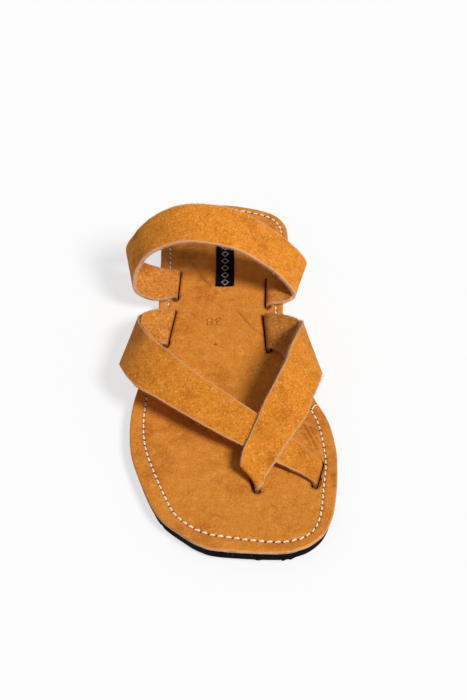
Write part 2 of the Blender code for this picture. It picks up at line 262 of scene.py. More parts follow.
INSTEP_FOLDS = (
    Fold(0.270, -0.74, 0.00, 0.98, -0.08, 0.00),
    Fold(0.283, -0.93, 0.09, 1.02, -0.04, 0.12),
    Fold(0.289, -1.16, 0.18, 1.00, 0.05, 0.27),
    Fold(0.289, -1.35, 0.29, 0.98, 0.13, 0.30),
    Fold(0.289, -1.40, 0.45, 0.95, 0.17, 0.36),
    Fold(0.289, -1.31, 0.67, 0.95, 0.10, 0.25),
    Fold(0.289, -1.09, 0.92, 0.95, 0.03, 0.28),
    Fold(0.289, -0.66, 1.10, 0.95, 0.05, 0.38),
    Fold(0.289, -0.19, 1.08, 0.95, 0.00, 0.47),
    Fold(0.289, 0.26, 0.95, 0.95, -0.02, 0.50),
    Fold(0.289, 0.76, 0.67, 0.95, -0.06, 0.50),
    Fold(0.289, 1.03, 0.46, 0.95, -0.15, 0.46),
    Fold(0.289, 1.20, 0.29, 0.96, -0.25, 0.40),
    Fold(0.291, 1.25, 0.16, 1.00, -0.35, 0.25),
    Fold(0.295, 1.07, 0.08, 1.02, -0.25, 0.12),
    Fold(0.298, 0.72, 0.00, 1.02, -0.07, 0.00),
)
UNDER_STRAP_FOLDS = (
    Fold(0.405, -0.81, 0.00, 1.33, -0.21, 0.00),
    Fold(0.425, -0.98, 0.17, 1.40, -0.20, 0.06),
    Fold(0.451, -1.15, 0.27, 1.52, -0.26, 0.10),
    Fold(0.473, -1.225, 0.35, 1.62, -0.42, 0.08),
    Fold(0.505, -1.17, 0.51, 1.43, -0.44, 0.22),
    Fold(0.550, -1.02, 0.70, 1.24, -0.43, 0.40),
    Fold(0.582, -0.88, 0.75, 1.20, -0.41, 0.44),
    Fold(0.611, -0.70, 0.77, 1.18, -0.33, 0.45),
    Fold(0.653, -0.43, 0.69, 1.07, -0.20, 0.46),
    Fold(0.692, -0.15, 0.58, 1.00, -0.18, 0.42),
    Fold(0.733, 0.17, 0.44, 0.82, -0.30, 0.32),
    Fold(0.766, 0.48, 0.24, 0.72, -0.32, 0.17),
    Fold(0.789, 0.69, 0.10, 0.70, -0.24, 0.04),
    Fold(0.809, 0.81, 0.00, 0.69, -0.19, 0.00),
)
OVER_STRAP_FOLDS = (
    Fold(0.425, 0.67, 0.00, 1.27, 0.03, 0.00),
    Fold(0.451, 0.91, 0.18, 1.42, 0.15, 0.10),
    Fold(0.480, 1.12, 0.30, 1.57, 0.24, 0.15),
    Fold(0.504, 1.22, 0.38, 1.68, 0.36, 0.20),
    Fold(0.532, 1.15, 0.54, 1.45, 0.42, 0.42),
    Fold(0.571, 0.99, 0.66, 1.38, 0.44, 0.53, 0.3),
    Fold(0.611, 0.82, 0.67, 1.26, 0.48, 0.58, 0.6),
    Fold(0.645, 0.70, 0.64, 1.12, 0.51, 0.66, 0.8),
    Fold(0.678, 0.58, 0.61, 1.00, 0.52, 0.66, 0.9),
    Fold(0.707, 0.48, 0.53, 0.84, 0.57, 0.54, 0.9),
    Fold(0.731, 0.40, 0.44, 0.77, 0.60, 0.38, 0.9),
    Fold(0.761, 0.31, 0.31, 0.72, 0.56, 0.30, 0.9),
    Fold(0.799, 0.20, 0.17, 0.57, 0.52, 0.33, 0.9),
    Fold(0.823, 0.17, 0.15, 0.48, 0.50, 0.25, 0.5),
    Fold(0.824, 0.18, 0.12, 0.58, 0.25, 0.10),
    Fold(0.820, 0.21, 0.00, 0.68, 0.04, 0.00),
)


# Plane geometry


def smooth_through(points: Points, steps: int) -> Points:
    """Points of a Catmull-Rom curve.

    Args:
        points: what the curve runs through; it starts at the second and ends at the last but one.
        steps: how many steps the curve takes from each point to the next.

    Returns:
        The curve's points, both ends included.
    """
    result = []
    for before, start, end, after in zip(points, points[1:], points[2:], points[3:]):
        leaving, arriving = (end - before) / 2, (after - start) / 2
        for step in range(steps):
            t = step / steps
            chord = (2 * t**3 - 3 * t**2 + 1) * start + (3 * t**2 - 2 * t**3) * end
            result.append(chord + (t**3 - 2 * t**2 + t) * leaving + (t**3 - t**2) * arriving)
    result.append(points[-2])
    return np.array(result)


def run_lengths(points: Points) -> Points:
    """Length run along a line of points up to each of them."""
    return np.concatenate([[0.0], np.cumsum(np.linalg.norm(np.diff(points, axis=0), axis=1))])


def ring_length(ring: Points) -> float:
    """Length round a closed ring of points."""
    return float(run_lengths(np.vstack([ring, ring[:1]]))[-1])


def resample_ring(ring: Points, count: int) -> Points:
    """Evenly spaced points round a closed ring.

    Args:
        ring: the ring's points, the first not repeated.
        count: how many points to give back.

    Returns:
        The new points, which start where the ring does.
    """
    closed = np.vstack([ring, ring[:1]])
    run = run_lengths(closed)
    places = np.linspace(0, run[-1], count, endpoint=False)
    return np.stack([np.interp(places, run, closed[:, axis]) for axis in range(closed.shape[1])], axis=1)


def inset_ring(ring: Points, distance: float | Points) -> Points:
    """A clockwise ring moved inwards along its own normals.

    Args:
        ring: the ring's points in the plane.
        distance: how far, one length for all or one for each point.

    Returns:
        The moved points, as many as before.
    """
    ahead = np.roll(ring, -1, axis=0) - np.roll(ring, 1, axis=0)
    ahead /= np.linalg.norm(ahead, axis=1)[:, None]
    inwards = np.stack([ahead[:, 1], -ahead[:, 0]], axis=1)
    return ring + inwards * np.broadcast_to(distance, len(ring))[:, None]


def smooth_ring(values: Points, reach: int) -> Points:
    """Moving average of values round a ring, over this many neighbours on each side."""
    return sum(np.roll(values, shift, axis=0) for shift in range(-reach, reach + 1)) / (2 * reach + 1)


def inside_ring(points: Points, ring: Points) -> Points:
    """Whether points lie inside a ring.

    Args:
        points: places in the plane.
        ring: the ring's points, the first not repeated.

    Returns:
        One boolean for each point.
    """
    x, y = points[:, :1], points[:, 1:2]
    (x0, y0), (x1, y1) = ring.T, np.roll(ring, -1, axis=0).T
    crosses = (y0 > y) != (y1 > y)
    reach = (x1 - x0) * (y - y0) / np.where(y1 == y0, 1.0, y1 - y0) + x0
    return (crosses & (x < reach)).sum(axis=1) % 2 == 1


def distance_to(points: Points, targets: Points) -> Points:
    """Distance in the plane to the nearest of some targets.

    Args:
        points: places to measure from.
        targets: places to measure to.

    Returns:
        One distance for each point.
    """
    tree = kdtree.KDTree(len(targets))
    for index, (x, y) in enumerate(targets[:, :2]):
        tree.insert((x, y, 0), index)
    tree.balance()
    return np.array([tree.find((x, y, 0))[2] for x, y in points[:, :2]])


def nearness(points: Points, targets: Points, width: float) -> Points:
    """How near points lie to some targets: 1 on them, and next to 0 from twice the width."""
    return np.exp(-((distance_to(points, targets) / width) ** 2))


def raised(flat: Points, height: Points) -> Points:
    """Points in the plane, each lifted to its height."""
    return np.hstack([flat, height[:, None]])


def line_points(start: Points, end: Points, spacing: float) -> Points:
    """Points along a straight line, both ends included."""
    count = max(2, int(np.linalg.norm(end - start) / spacing) + 1)
    return start + np.linspace(0, 1, count)[:, None] * (end - start)


def mark_line(plan: "SolePlan", mark: Mark, spacing: float) -> Points:
    """Points along a mark on the foot, bent aside half-way.

    Args:
        plan: the sole that places the mark.
        mark: the mark.
        spacing: about how far apart the points lie.

    Returns:
        The points, both ends included.
    """
    start, end = plan.place(mark.along, mark.across), plan.place(mark.end_along, mark.end_across)
    line = line_points(start, end, spacing)
    side = np.array([start[1] - end[1], end[0] - start[0]])
    side /= np.linalg.norm(side)
    share = np.linspace(0, 1, len(line))[:, None]
    return line + side * mark.sway * np.sin(math.pi * share)


def arc_points(
    centre: tuple[float, float], radius: float, start: float, sweep: float, spacing: float
) -> Points:
    """Points along an arc.

    Args:
        centre: the arc's centre.
        radius: its radius.
        start: its first angle, in degrees.
        sweep: how far it turns, in degrees, clockwise below zero.
        spacing: about how far apart the points lie.

    Returns:
        The points, both ends included.
    """
    count = max(3, int(abs(math.radians(sweep)) * radius / spacing) + 2)
    angles = np.radians(np.linspace(start, start + sweep, count))
    return np.array(centre) + radius * np.stack([np.cos(angles), np.sin(angles)], axis=1)


def staggered_grid(low: Points, high: Points, spacing: float) -> Points:
    """Points of a grid of even triangles that fills a rectangle.

    Args:
        low: the rectangle's low corner.
        high: its high corner.
        spacing: the triangles' side.

    Returns:
        The points, row by row.
    """
    rows = []
    for index, y in enumerate(np.arange(low[1], high[1], spacing * math.sqrt(3) / 2)):
        x = np.arange(low[0] + (index % 2) * spacing / 2, high[0], spacing)
        rows.append(np.stack([x, np.full_like(x, y)], axis=1))
    return np.vstack(rows)


def waves(points: Points, size: float, seed: float) -> Points:
    """Soft noise between about -1 and 1 at each point.

    Args:
        points: places in the plane or in space.
        size: how far apart the waves lie.
        seed: picks the pattern.

    Returns:
        One value for each point.
    """
    padded = np.hstack([points / size, np.full((len(points), 1), seed)])[:, :3]
    if points.shape[1] == 3:
        padded = points / size + seed
    return np.array([noise.noise(place) for place in padded])


@dataclass
class SolePlan:
    """Outline and rise of the sole, at the size that the footbed has in the frame."""

    ball_width: float = 0.0975
    waist_width: float = 0.0655
    heel_width: float = 0.0690
    toe_spring: float = 0.0025
    arch_lift: float = 0.0014
    heel_flat_end: float = 0.30
    ball_flat_start: float = 0.58
    ball_flat_end: float = 0.80
    heel_end_across: float = -0.01
    toe_end_across: float = 0.19
    steps: int = 24
    length: float = field(init=False)
    heel_end: float = field(init=False)
    edge: Points = field(init=False)

    def __post_init__(self) -> None:
        """Take the length from the frame and work out the outline."""
        low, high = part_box("footbed")
        self.length = high.y - low.y
        self.heel_end = high.y
        self.edge = self.outline()

    def y_at(self, along: float) -> float:
        """Place along the foot of a share of the sole's length."""
        return self.heel_end - self.length * along

    def along_at(self, y: float | Points) -> float | Points:
        """Share of the sole's length at a place along the foot."""
        return (self.heel_end - y) / self.length

    def width_of(self, zone: Zone) -> float:
        """The named width that an outline row follows."""
        return {Zone.HEEL: self.heel_width, Zone.WAIST: self.waist_width, Zone.BALL: self.ball_width}[zone]

    def outline(self) -> Points:
        """Work out the footbed's edge.

        Returns:
            The edge's points, clockwise from the heel end, the medial side first.
        """
        medial = [(row.medial * self.width_of(row.zone), self.y_at(row.along)) for row in OUTLINE]
        lateral = [(-row.lateral * self.width_of(row.zone), self.y_at(row.along)) for row in OUTLINE]
        heel = [(self.heel_end_across * self.heel_width, self.heel_end)]
        toe = [(self.toe_end_across * self.ball_width, self.y_at(1))]
        ring = np.array(heel + medial + toe + lateral[::-1])
        return smooth_through(np.vstack([ring[-1:], ring, ring[:2]]), self.steps)[:-1]

    def half_width(self, y: float, side: Side) -> float:
        """Distance from the centre line to the footbed's edge.

        Args:
            y: place along the foot.
            side: the side of the foot.

        Returns:
            The distance, above zero on both sides.
        """
        toe = self.steps * (len(OUTLINE) + 1)
        if side is Side.MEDIAL:
            part = self.edge[: toe + 1]
            return float(np.interp(-y, -part[:, 1], part[:, 0]))
        part = np.vstack([self.edge[toe:], self.edge[:1]])
        return -float(np.interp(y, part[:, 1], part[:, 0]))

    def place(self, along: float, across: float) -> Points:
        """Point in the plane at shares along and across the foot."""
        y = self.y_at(along)
        return np.array([across * self.half_width(y, Side.MEDIAL if across > 0 else Side.LATERAL), y])

    def rise(self, y: float | Points) -> Points:
        """How far the sole lifts off the ground: an arch at the waist and the toe spring.

        Args:
            y: one place along the foot, or an array of them.

        Returns:
            The rise at each place.
        """
        along = self.along_at(np.asarray(y, float))
        span = (along - self.heel_flat_end) / (self.ball_flat_start - self.heel_flat_end)
        arch = self.arch_lift * np.sin(np.pi * np.clip(span, 0, 1)) ** 2
        spring = np.clip((along - self.ball_flat_end) / (1 - self.ball_flat_end), 0, None) ** 2
        return arch + self.toe_spring * spring


# Mesh drafting


@dataclass
class Draft:
    """Points, faces and values of a mesh in the making."""

    points: list[Points] = field(default_factory=list)
    faces: list[tuple[int, ...]] = field(default_factory=list)
    slots: list[int] = field(default_factory=list)
    count: int = 0

    def add_points(self, points: Points) -> np.ndarray:
        """Add points.

        Args:
            points: the new points in space.

        Returns:
            Their indices.
        """
        self.points.append(points)
        self.count += len(points)
        return np.arange(self.count - len(points), self.count)

    def add_faces(self, faces: list[tuple[int, ...]] | np.ndarray, slot: int = 0) -> None:
        """Add faces that take the material in a slot."""
        self.faces += [tuple(int(index) for index in face) for face in faces]
        self.slots += [int(slot)] * len(faces)

    def bridge(self, one: np.ndarray, other: np.ndarray, slot: int = 0, closed: bool = True) -> None:
        """Join two rows of as many points with four-sided faces.

        Args:
            one: indices of the first row.
            other: indices of the second row.
            slot: the faces' material slot.
            closed: whether the rows are rings.
        """
        last = len(one) if closed else len(one) - 1
        after = (np.arange(last) + 1) % len(one)
        self.add_faces(np.stack([one[:last], one[after], other[after], other[:last]], axis=1), slot)

    def build(self, name: str, materials: list[bpy.types.Material], sharp: float = 40.0) -> bpy.types.Object:
        """Make the object, with its normals pointing out.

        Args:
            name: the object's name.
            materials: what its material slots hold.
            sharp: the angle past which an edge is a hard crease, in degrees.

        Returns:
            The object.
        """
        mesh = bpy.data.meshes.new(name)
        mesh.from_pydata(np.vstack(self.points).tolist(), [], self.faces)
        for material in materials:
            mesh.materials.append(material)
        mesh.polygons.foreach_set("material_index", self.slots)
        shape = bmesh.new()
        shape.from_mesh(mesh)
        bmesh.ops.recalc_face_normals(shape, faces=shape.faces)
        shape.to_mesh(mesh)
        shape.free()
        mesh.shade_smooth()
        mesh.set_sharp_from_angle(angle=math.radians(sharp))
        return add_object(name, mesh)


def add_object(name: str, data: bpy.types.ID) -> bpy.types.Object:
    """Make an object and link it to the scene."""
    made = bpy.data.objects.new(name, data)
    bpy.context.scene.collection.objects.link(made)
    return made


def add_values(piece: bpy.types.Object, name: str, values: Points) -> None:
    """Store one value for each point of a piece, for its material to read."""
    attribute = piece.data.attributes.new(name, "FLOAT", "POINT")
    attribute.data.foreach_set("value", np.asarray(values, np.float32))


def fill_between(outer: Points, holes: list[Points], inner: Points) -> tuple[Points, np.ndarray]:
    """Triangles that fill a ring around its holes.

    Args:
        outer: the ring's points.
        holes: rings inside it that stay open.
        inner: further points for the triangles to use.

    Returns:
        All points, the rings' own first and in order, and the triangles' indices.
    """
    rings = [outer, *holes]
    points = np.vstack([*rings, inner]) if len(inner) else np.vstack(rings)
    edges, first = [], 0
    for ring in rings:
        edges += [(first + i, first + (i + 1) % len(ring)) for i in range(len(ring))]
        first += len(ring)
    unit = 1000.0
    result = geometry.delaunay_2d_cdt([Vector(p * unit) for p in points], edges, [], 0, 1e-5, True)
    new_points, triangles, sources = result[0], np.array(result[2]), result[3]
    back = np.array([source[0] for source in sources])
    assert len(new_points) == len(points), "points of a filled ring coincide"
    triangles = back[triangles]
    centres = points[triangles].mean(axis=1)
    kept = inside_ring(centres, outer)
    for hole in holes:
        kept &= ~inside_ring(centres, hole)
    return points, triangles[kept]


# Nodes


def put(
    tree: bpy.types.NodeTree, kind: str, inputs: dict[Any, Any] | None = None, **settings: Any
) -> bpy.types.Node:
    """Add a node.

    Args:
        tree: the tree that it goes in.
        kind: the node's type.
        inputs: value or source socket for each of its inputs, by name or index.
        settings: the node's own properties.

    Returns:
        The node.
    """
    made = tree.nodes.new(kind)
    for key, value in settings.items():
        setattr(made, key, value)
    for key, value in (inputs or {}).items():
        if isinstance(value, bpy.types.NodeSocket):
            tree.links.new(value, made.inputs[key])
        else:
            made.inputs[key].default_value = value
    return made


def calc(tree: bpy.types.NodeTree, operation: str, *values: Any) -> bpy.types.NodeSocket:
    """Result of a Math node on values or sockets."""
    return put(tree, "ShaderNodeMath", dict(enumerate(values)), operation=operation).outputs[0]


def blend_colour(tree: bpy.types.NodeTree, share: Any, first: Any, second: Any) -> bpy.types.NodeSocket:
    """Result of mixing two colours by a share."""
    return put(tree, "ShaderNodeMix", {0: share, 6: first, 7: second}, data_type="RGBA").outputs[2]


def spread(
    tree: bpy.types.NodeTree, value: Any, low: float, high: float, first: float = 0.0, last: float = 1.0
) -> bpy.types.NodeSocket:
    """A value taken from one range to another with soft ends."""
    inputs = {"Value": value, "From Min": low, "From Max": high, "To Min": first, "To Max": last}
    return put(tree, "ShaderNodeMapRange", inputs, interpolation_type="SMOOTHSTEP").outputs[0]


def cloud(
    tree: bpy.types.NodeTree, place: Any, scale: Any, detail: float, roughness: float = 0.5
) -> bpy.types.NodeSocket:
    """Noise at a place, between 0 and 1."""
    inputs = {"Vector": place, "Scale": scale, "Detail": detail, "Roughness": roughness}
    return put(tree, "ShaderNodeTexNoise", inputs).outputs["Fac"]


class ShaderGroup:
    """A shader node group with named inputs and outputs."""

    def __init__(self, name: str, inputs: dict[str, tuple[str, Any]], outputs: dict[str, str]) -> None:
        """Open the group.

        Args:
            name: the group's name.
            inputs: socket type and default value of each input.
            outputs: socket type of each output.
        """
        self.tree = bpy.data.node_groups.new(name, "ShaderNodeTree")
        for key, (kind, value) in inputs.items():
            socket = self.tree.interface.new_socket(key, in_out="INPUT", socket_type=kind)
            if value is not None:
                socket.default_value = value
        for key, kind in outputs.items():
            self.tree.interface.new_socket(key, in_out="OUTPUT", socket_type=kind)
        self.given = self.tree.nodes.new("NodeGroupInput").outputs
        self.result = self.tree.nodes.new("NodeGroupOutput").inputs

    def send(self, key: str, socket: bpy.types.NodeSocket) -> None:
        """Give an output its value."""
        self.tree.links.new(socket, self.result[key])


def nubuck_group() -> bpy.types.NodeTree:
    """Group for buffed leather: cloudy colour, short nap and fine pores.

    Returns:
        The group.
    """
    colour, value, place = "NodeSocketColor", "NodeSocketFloat", "NodeSocketVector"
    group = ShaderGroup(
        "nubuck",
        {
            "Vector": (place, None),
            "Base": (colour, (0.5, 0.2, 0.05, 1)),
            "Dark": (colour, (0.3, 0.1, 0.02, 1)),
            "Light": (colour, (0.7, 0.35, 0.12, 1)),
            "Cloud Scale": (value, 60.0),
            "Nap Scale": (value, 1300.0),
            "Cloud Amount": (value, 0.5),
            "Nap Amount": (value, 0.35),
        },
        {"Color": colour, "Height": value, "Rough": value},
    )
    tree, given = group.tree, group.given
    broad = cloud(tree, given["Vector"], given["Cloud Scale"], 3.0, 0.6)
    patch = cloud(tree, given["Vector"], calc(tree, "MULTIPLY", given["Cloud Scale"], 4.3), 4.0, 0.65)
    nap = cloud(tree, given["Vector"], given["Nap Scale"], 5.0, 0.7)
    pores = put(
        tree,
        "ShaderNodeTexVoronoi",
        {"Vector": given["Vector"], "Scale": calc(tree, "MULTIPLY", given["Nap Scale"], 0.6)},
    ).outputs["Distance"]
    darker = calc(tree, "MULTIPLY", spread(tree, broad, 0.52, 0.30), given["Cloud Amount"])
    lighter = calc(tree, "MULTIPLY", spread(tree, patch, 0.50, 0.74), given["Cloud Amount"])
    smudge = calc(tree, "MULTIPLY", spread(tree, patch, 0.46, 0.26), given["Cloud Amount"])
    tone = blend_colour(tree, darker, given["Base"], given["Dark"])
    tone = blend_colour(tree, smudge, tone, given["Dark"])
    tone = blend_colour(tree, lighter, tone, given["Light"])
    speck = calc(tree, "MULTIPLY", spread(tree, nap, 0.48, 0.30), given["Nap Amount"])
    glint = calc(tree, "MULTIPLY", spread(tree, nap, 0.53, 0.70), given["Nap Amount"])
    tone = blend_colour(tree, speck, tone, given["Dark"])
    tone = blend_colour(tree, glint, tone, given["Light"])
    pit = calc(tree, "MULTIPLY", spread(tree, pores, 0.22, 0.04), 0.35)
    group.send("Color", tone)
    group.send("Height", calc(tree, "SUBTRACT", nap, pit))
    group.send("Rough", spread(tree, patch, 0.3, 0.7, 0.80, 0.92))
    return tree


def raw_edge_group() -> bpy.types.NodeTree:
    """Group for a cut edge of leather: pale, with fibres that lie along the sheet.

    Returns:
        The group.
    """
    colour, value, place = "NodeSocketColor", "NodeSocketFloat", "NodeSocketVector"
    group = ShaderGroup(
        "raw_edge",
        {
            "Vector": (place, None),
            "Pale": (colour, (0.6, 0.4, 0.25, 1)),
            "Deep": (colour, (0.3, 0.15, 0.06, 1)),
            "Fibre Scale": (value, 700.0),
        },
        {"Color": colour, "Height": value},
    )
    tree, given = group.tree, group.given
    flat = put(tree, "ShaderNodeMapping", {"Vector": given["Vector"], "Scale": (0.35, 0.35, 3.2)}).outputs[0]
    fibre = cloud(tree, flat, given["Fibre Scale"], 5.0, 0.7)
    stain = cloud(tree, given["Vector"], calc(tree, "MULTIPLY", given["Fibre Scale"], 0.16), 2.0)
    frayed, stained = spread(tree, fibre, 0.62, 0.34), spread(tree, stain, 0.25, 0.7, 0.35, 1.0)
    share = calc(tree, "MULTIPLY", frayed, stained)
    group.send("Color", blend_colour(tree, share, given["Pale"], given["Deep"]))
    group.send("Height", fibre)
    return tree


def rubber_group() -> bpy.types.NodeTree:
    """Group for moulded rubber: fine bloom, a little dust and small pale specks.

    Returns:
        The group.
    """
    colour, value, place = "NodeSocketColor", "NodeSocketFloat", "NodeSocketVector"
    group = ShaderGroup(
        "rubber",
        {
            "Vector": (place, None),
            "Base": (colour, (0.01, 0.01, 0.01, 1)),
            "Dust": (colour, (0.2, 0.18, 0.16, 1)),
            "Grain Scale": (value, 1500.0),
        },
        {"Color": colour, "Height": value, "Rough": value},
    )
    tree, given = group.tree, group.given
    grain = cloud(tree, given["Vector"], given["Grain Scale"], 4.0, 0.6)
    bloom = cloud(tree, given["Vector"], calc(tree, "MULTIPLY", given["Grain Scale"], 0.05), 3.0)
    specks = put(
        tree,
        "ShaderNodeTexVoronoi",
        {"Vector": given["Vector"], "Scale": calc(tree, "MULTIPLY", given["Grain Scale"], 0.28)},
    ).outputs["Distance"]
    dusty = calc(tree, "MULTIPLY", spread(tree, bloom, 0.50, 0.75), 0.03)
    tone = blend_colour(tree, dusty, given["Base"], given["Dust"])
    tone = blend_colour(tree, spread(tree, specks, 0.095, 0.05, 0.0, 0.9), tone, given["Dust"])
    group.send("Color", tone)
    group.send("Height", grain)
    group.send("Rough", spread(tree, bloom, 0.3, 0.7, 0.65, 0.85))
    return tree


@dataclass
class Groups:
    """The node groups that the materials share."""

    nubuck: bpy.types.NodeTree = field(default_factory=nubuck_group)
    raw_edge: bpy.types.NodeTree = field(default_factory=raw_edge_group)
    rubber: bpy.types.NodeTree = field(default_factory=rubber_group)


class MaterialDraft:
    """A material with a Principled BSDF, and short calls to fill it."""

    def __init__(self, name: str) -> None:
        """Start the material."""
        self.material = bpy.data.materials.new(name)
        self.material.use_nodes = True
        self.tree = self.material.node_tree
        self.shader = self.tree.nodes["Principled BSDF"]
        self.place = put(self.tree, "ShaderNodeTexCoord").outputs["Object"]

    def use(self, group: bpy.types.NodeTree, values: dict[str, Any]) -> bpy.types.bpy_prop_collection:
        """Place a group that reads Object coordinates.

        Args:
            group: the group.
            values: value of each of its other inputs.

        Returns:
            The group's outputs.
        """
        made = put(self.tree, "ShaderNodeGroup", node_tree=group)
        self.tree.links.new(self.place, made.inputs["Vector"])
        for key, value in values.items():
            made.inputs[key].default_value = value
        return made.outputs

    def hold(self, values: dict[str, Any]) -> None:
        """Set the shader's constants."""
        for key, value in values.items():
            self.shader.inputs[key].default_value = value

    def read(self, name: str) -> bpy.types.NodeSocket:
        """Value that a piece's points hold under a name."""
        return put(self.tree, "ShaderNodeAttribute", attribute_name=name).outputs["Fac"]

    def finish(self, colour: Any, height: Any, depth: float, roughness: Any) -> bpy.types.Material:
        """Join colour, relief and roughness to the shader.

        Args:
            colour: the base colour's socket.
            height: the relief's socket.
            depth: how deep the relief is, in metres.
            roughness: a socket or one value.

        Returns:
            The material.
        """
        bump = put(self.tree, "ShaderNodeBump", {"Height": height, "Distance": depth, "Strength": 1.0})
        self.tree.links.new(colour, self.shader.inputs["Base Color"])
        self.tree.links.new(bump.outputs["Normal"], self.shader.inputs["Normal"])
        if isinstance(roughness, bpy.types.NodeSocket):
            self.tree.links.new(roughness, self.shader.inputs["Roughness"])
        else:
            self.shader.inputs["Roughness"].default_value = roughness
        return self.material


@dataclass(frozen=True)
class Nubuck:
    """Buffed leather, with a rim that is worn pale, and painted shade that darkens hollows, along with dark
    marks in the same deep colour.
    """

    name: str
    base: Colour
    dark: Colour
    light: Colour
    rim: Colour
    # deep: painted shade for hollows, and the colour of dark marks
    deep: Colour = (0.07, 0.018, 0.002, 1.0)
    cloud_scale: float = 55.0
    nap_scale: float = 1000.0
    cloud_amount: float = 0.60
    nap_amount: float = 1.0
    depth: float = 0.0005
    shine: float = 0.12
    sheen: float = 0.05
    sheen_roughness: float = 0.5
    sheen_tint: Colour = (1.0, 0.80, 0.58, 1.0)

    def build(self, groups: Groups) -> bpy.types.Material:
        """Make the material.

        Args:
            groups: the node groups that the materials share.

        Returns:
            The material.
        """
        draft = MaterialDraft(self.name)
        out = draft.use(
            groups.nubuck,
            {
                "Base": self.base,
                "Dark": self.dark,
                "Light": self.light,
                "Cloud Scale": self.cloud_scale,
                "Nap Scale": self.nap_scale,
                "Cloud Amount": self.cloud_amount,
                "Nap Amount": self.nap_amount,
            },
        )
        colour = blend_colour(draft.tree, draft.read("rim"), out["Color"], self.rim)
        # Painted shade in hollows, and dark marks, blend in towards the deep colour.
        colour = blend_colour(draft.tree, draft.read("painted_shade_and_marks"), colour, self.deep)
        draft.hold(
            {
                "Sheen Weight": self.sheen,
                "Sheen Roughness": self.sheen_roughness,
                "Sheen Tint": self.sheen_tint,
                "Specular IOR Level": self.shine,
            }
        )
        return draft.finish(colour, out["Height"], self.depth, out["Rough"])


@dataclass(frozen=True)
class RawEdge:
    """Cut edge of leather."""

    name: str
    pale: Colour
    deep: Colour
    fibre_scale: float = 700.0
    depth: float = 0.0004
    shine: float = 0.15
    roughness: float = 0.9

    def build(self, groups: Groups) -> bpy.types.Material:
        """Make the material.

        Args:
            groups: the node groups that the materials share.

        Returns:
            The material.
        """
        draft = MaterialDraft(self.name)
        values = {"Pale": self.pale, "Deep": self.deep, "Fibre Scale": self.fibre_scale}
        out = draft.use(groups.raw_edge, values)
        draft.hold({"Specular IOR Level": self.shine})
        return draft.finish(out["Color"], out["Height"], self.depth, self.roughness)


@dataclass(frozen=True)
class Rubber:
    """Matt black rubber."""

    name: str = "sole_rubber"
    base: Colour = (0.0035, 0.0025, 0.0035, 1.0)
    dust: Colour = (0.22, 0.20, 0.19, 1.0)
    grain_scale: float = 1500.0
    depth: float = 0.0001
    shine: float = 0.03

    def build(self, groups: Groups) -> bpy.types.Material:
        """Make the material.

        Args:
            groups: the node groups that the materials share.

        Returns:
            The material.
        """
        draft = MaterialDraft(self.name)
        values = {"Base": self.base, "Dust": self.dust, "Grain Scale": self.grain_scale}
        out = draft.use(groups.rubber, values)
        draft.hold({"Specular IOR Level": self.shine})
        return draft.finish(out["Color"], out["Height"], self.depth, out["Rough"])


@dataclass(frozen=True)
class Thread:
    """Waxed cotton thread."""

    name: str = "cream_thread"
    light: Colour = (0.88, 0.80, 0.66, 1.0)
    shade: Colour = (0.62, 0.50, 0.34, 1.0)
    fibre_scale: float = 2600.0
    stain_scale: float = 90.0
    depth: float = 0.0001
    roughness: float = 0.75

    def build(self) -> bpy.types.Material:
        """Make the material.

        Returns:
            The material.
        """
        draft = MaterialDraft(self.name)
        tuft = cloud(draft.tree, draft.place, self.fibre_scale, 3.0)
        stain = cloud(draft.tree, draft.place, self.stain_scale, 2.0)
        tufted, stained = spread(draft.tree, tuft, 0.6, 0.3), spread(draft.tree, stain, 0.3, 0.7)
        share = calc(draft.tree, "MULTIPLY", tufted, stained)
        colour = blend_colour(draft.tree, share, self.light, self.shade)
        return draft.finish(colour, tuft, self.depth, self.roughness)


@dataclass(frozen=True)
class Hole:
    """Painted shade: a flat dark colour standing in for the shade inside needle holes and slots."""

    name: str = "needle_hole_painted_shade"
    deep: Colour = (0.035, 0.012, 0.004, 1.0)
    edge: Colour = (0.12, 0.045, 0.012, 1.0)
    tuft_scale: float = 1800.0
    depth: float = 0.0001
    roughness: float = 0.95

    def build(self) -> bpy.types.Material:
        """Make the material.

        Returns:
            The material.
        """
        draft = MaterialDraft(self.name)
        tuft = cloud(draft.tree, draft.place, self.tuft_scale, 3.0)
        colour = blend_colour(draft.tree, spread(draft.tree, tuft, 0.4, 0.7), self.deep, self.edge)
        return draft.finish(colour, tuft, self.depth, self.roughness)


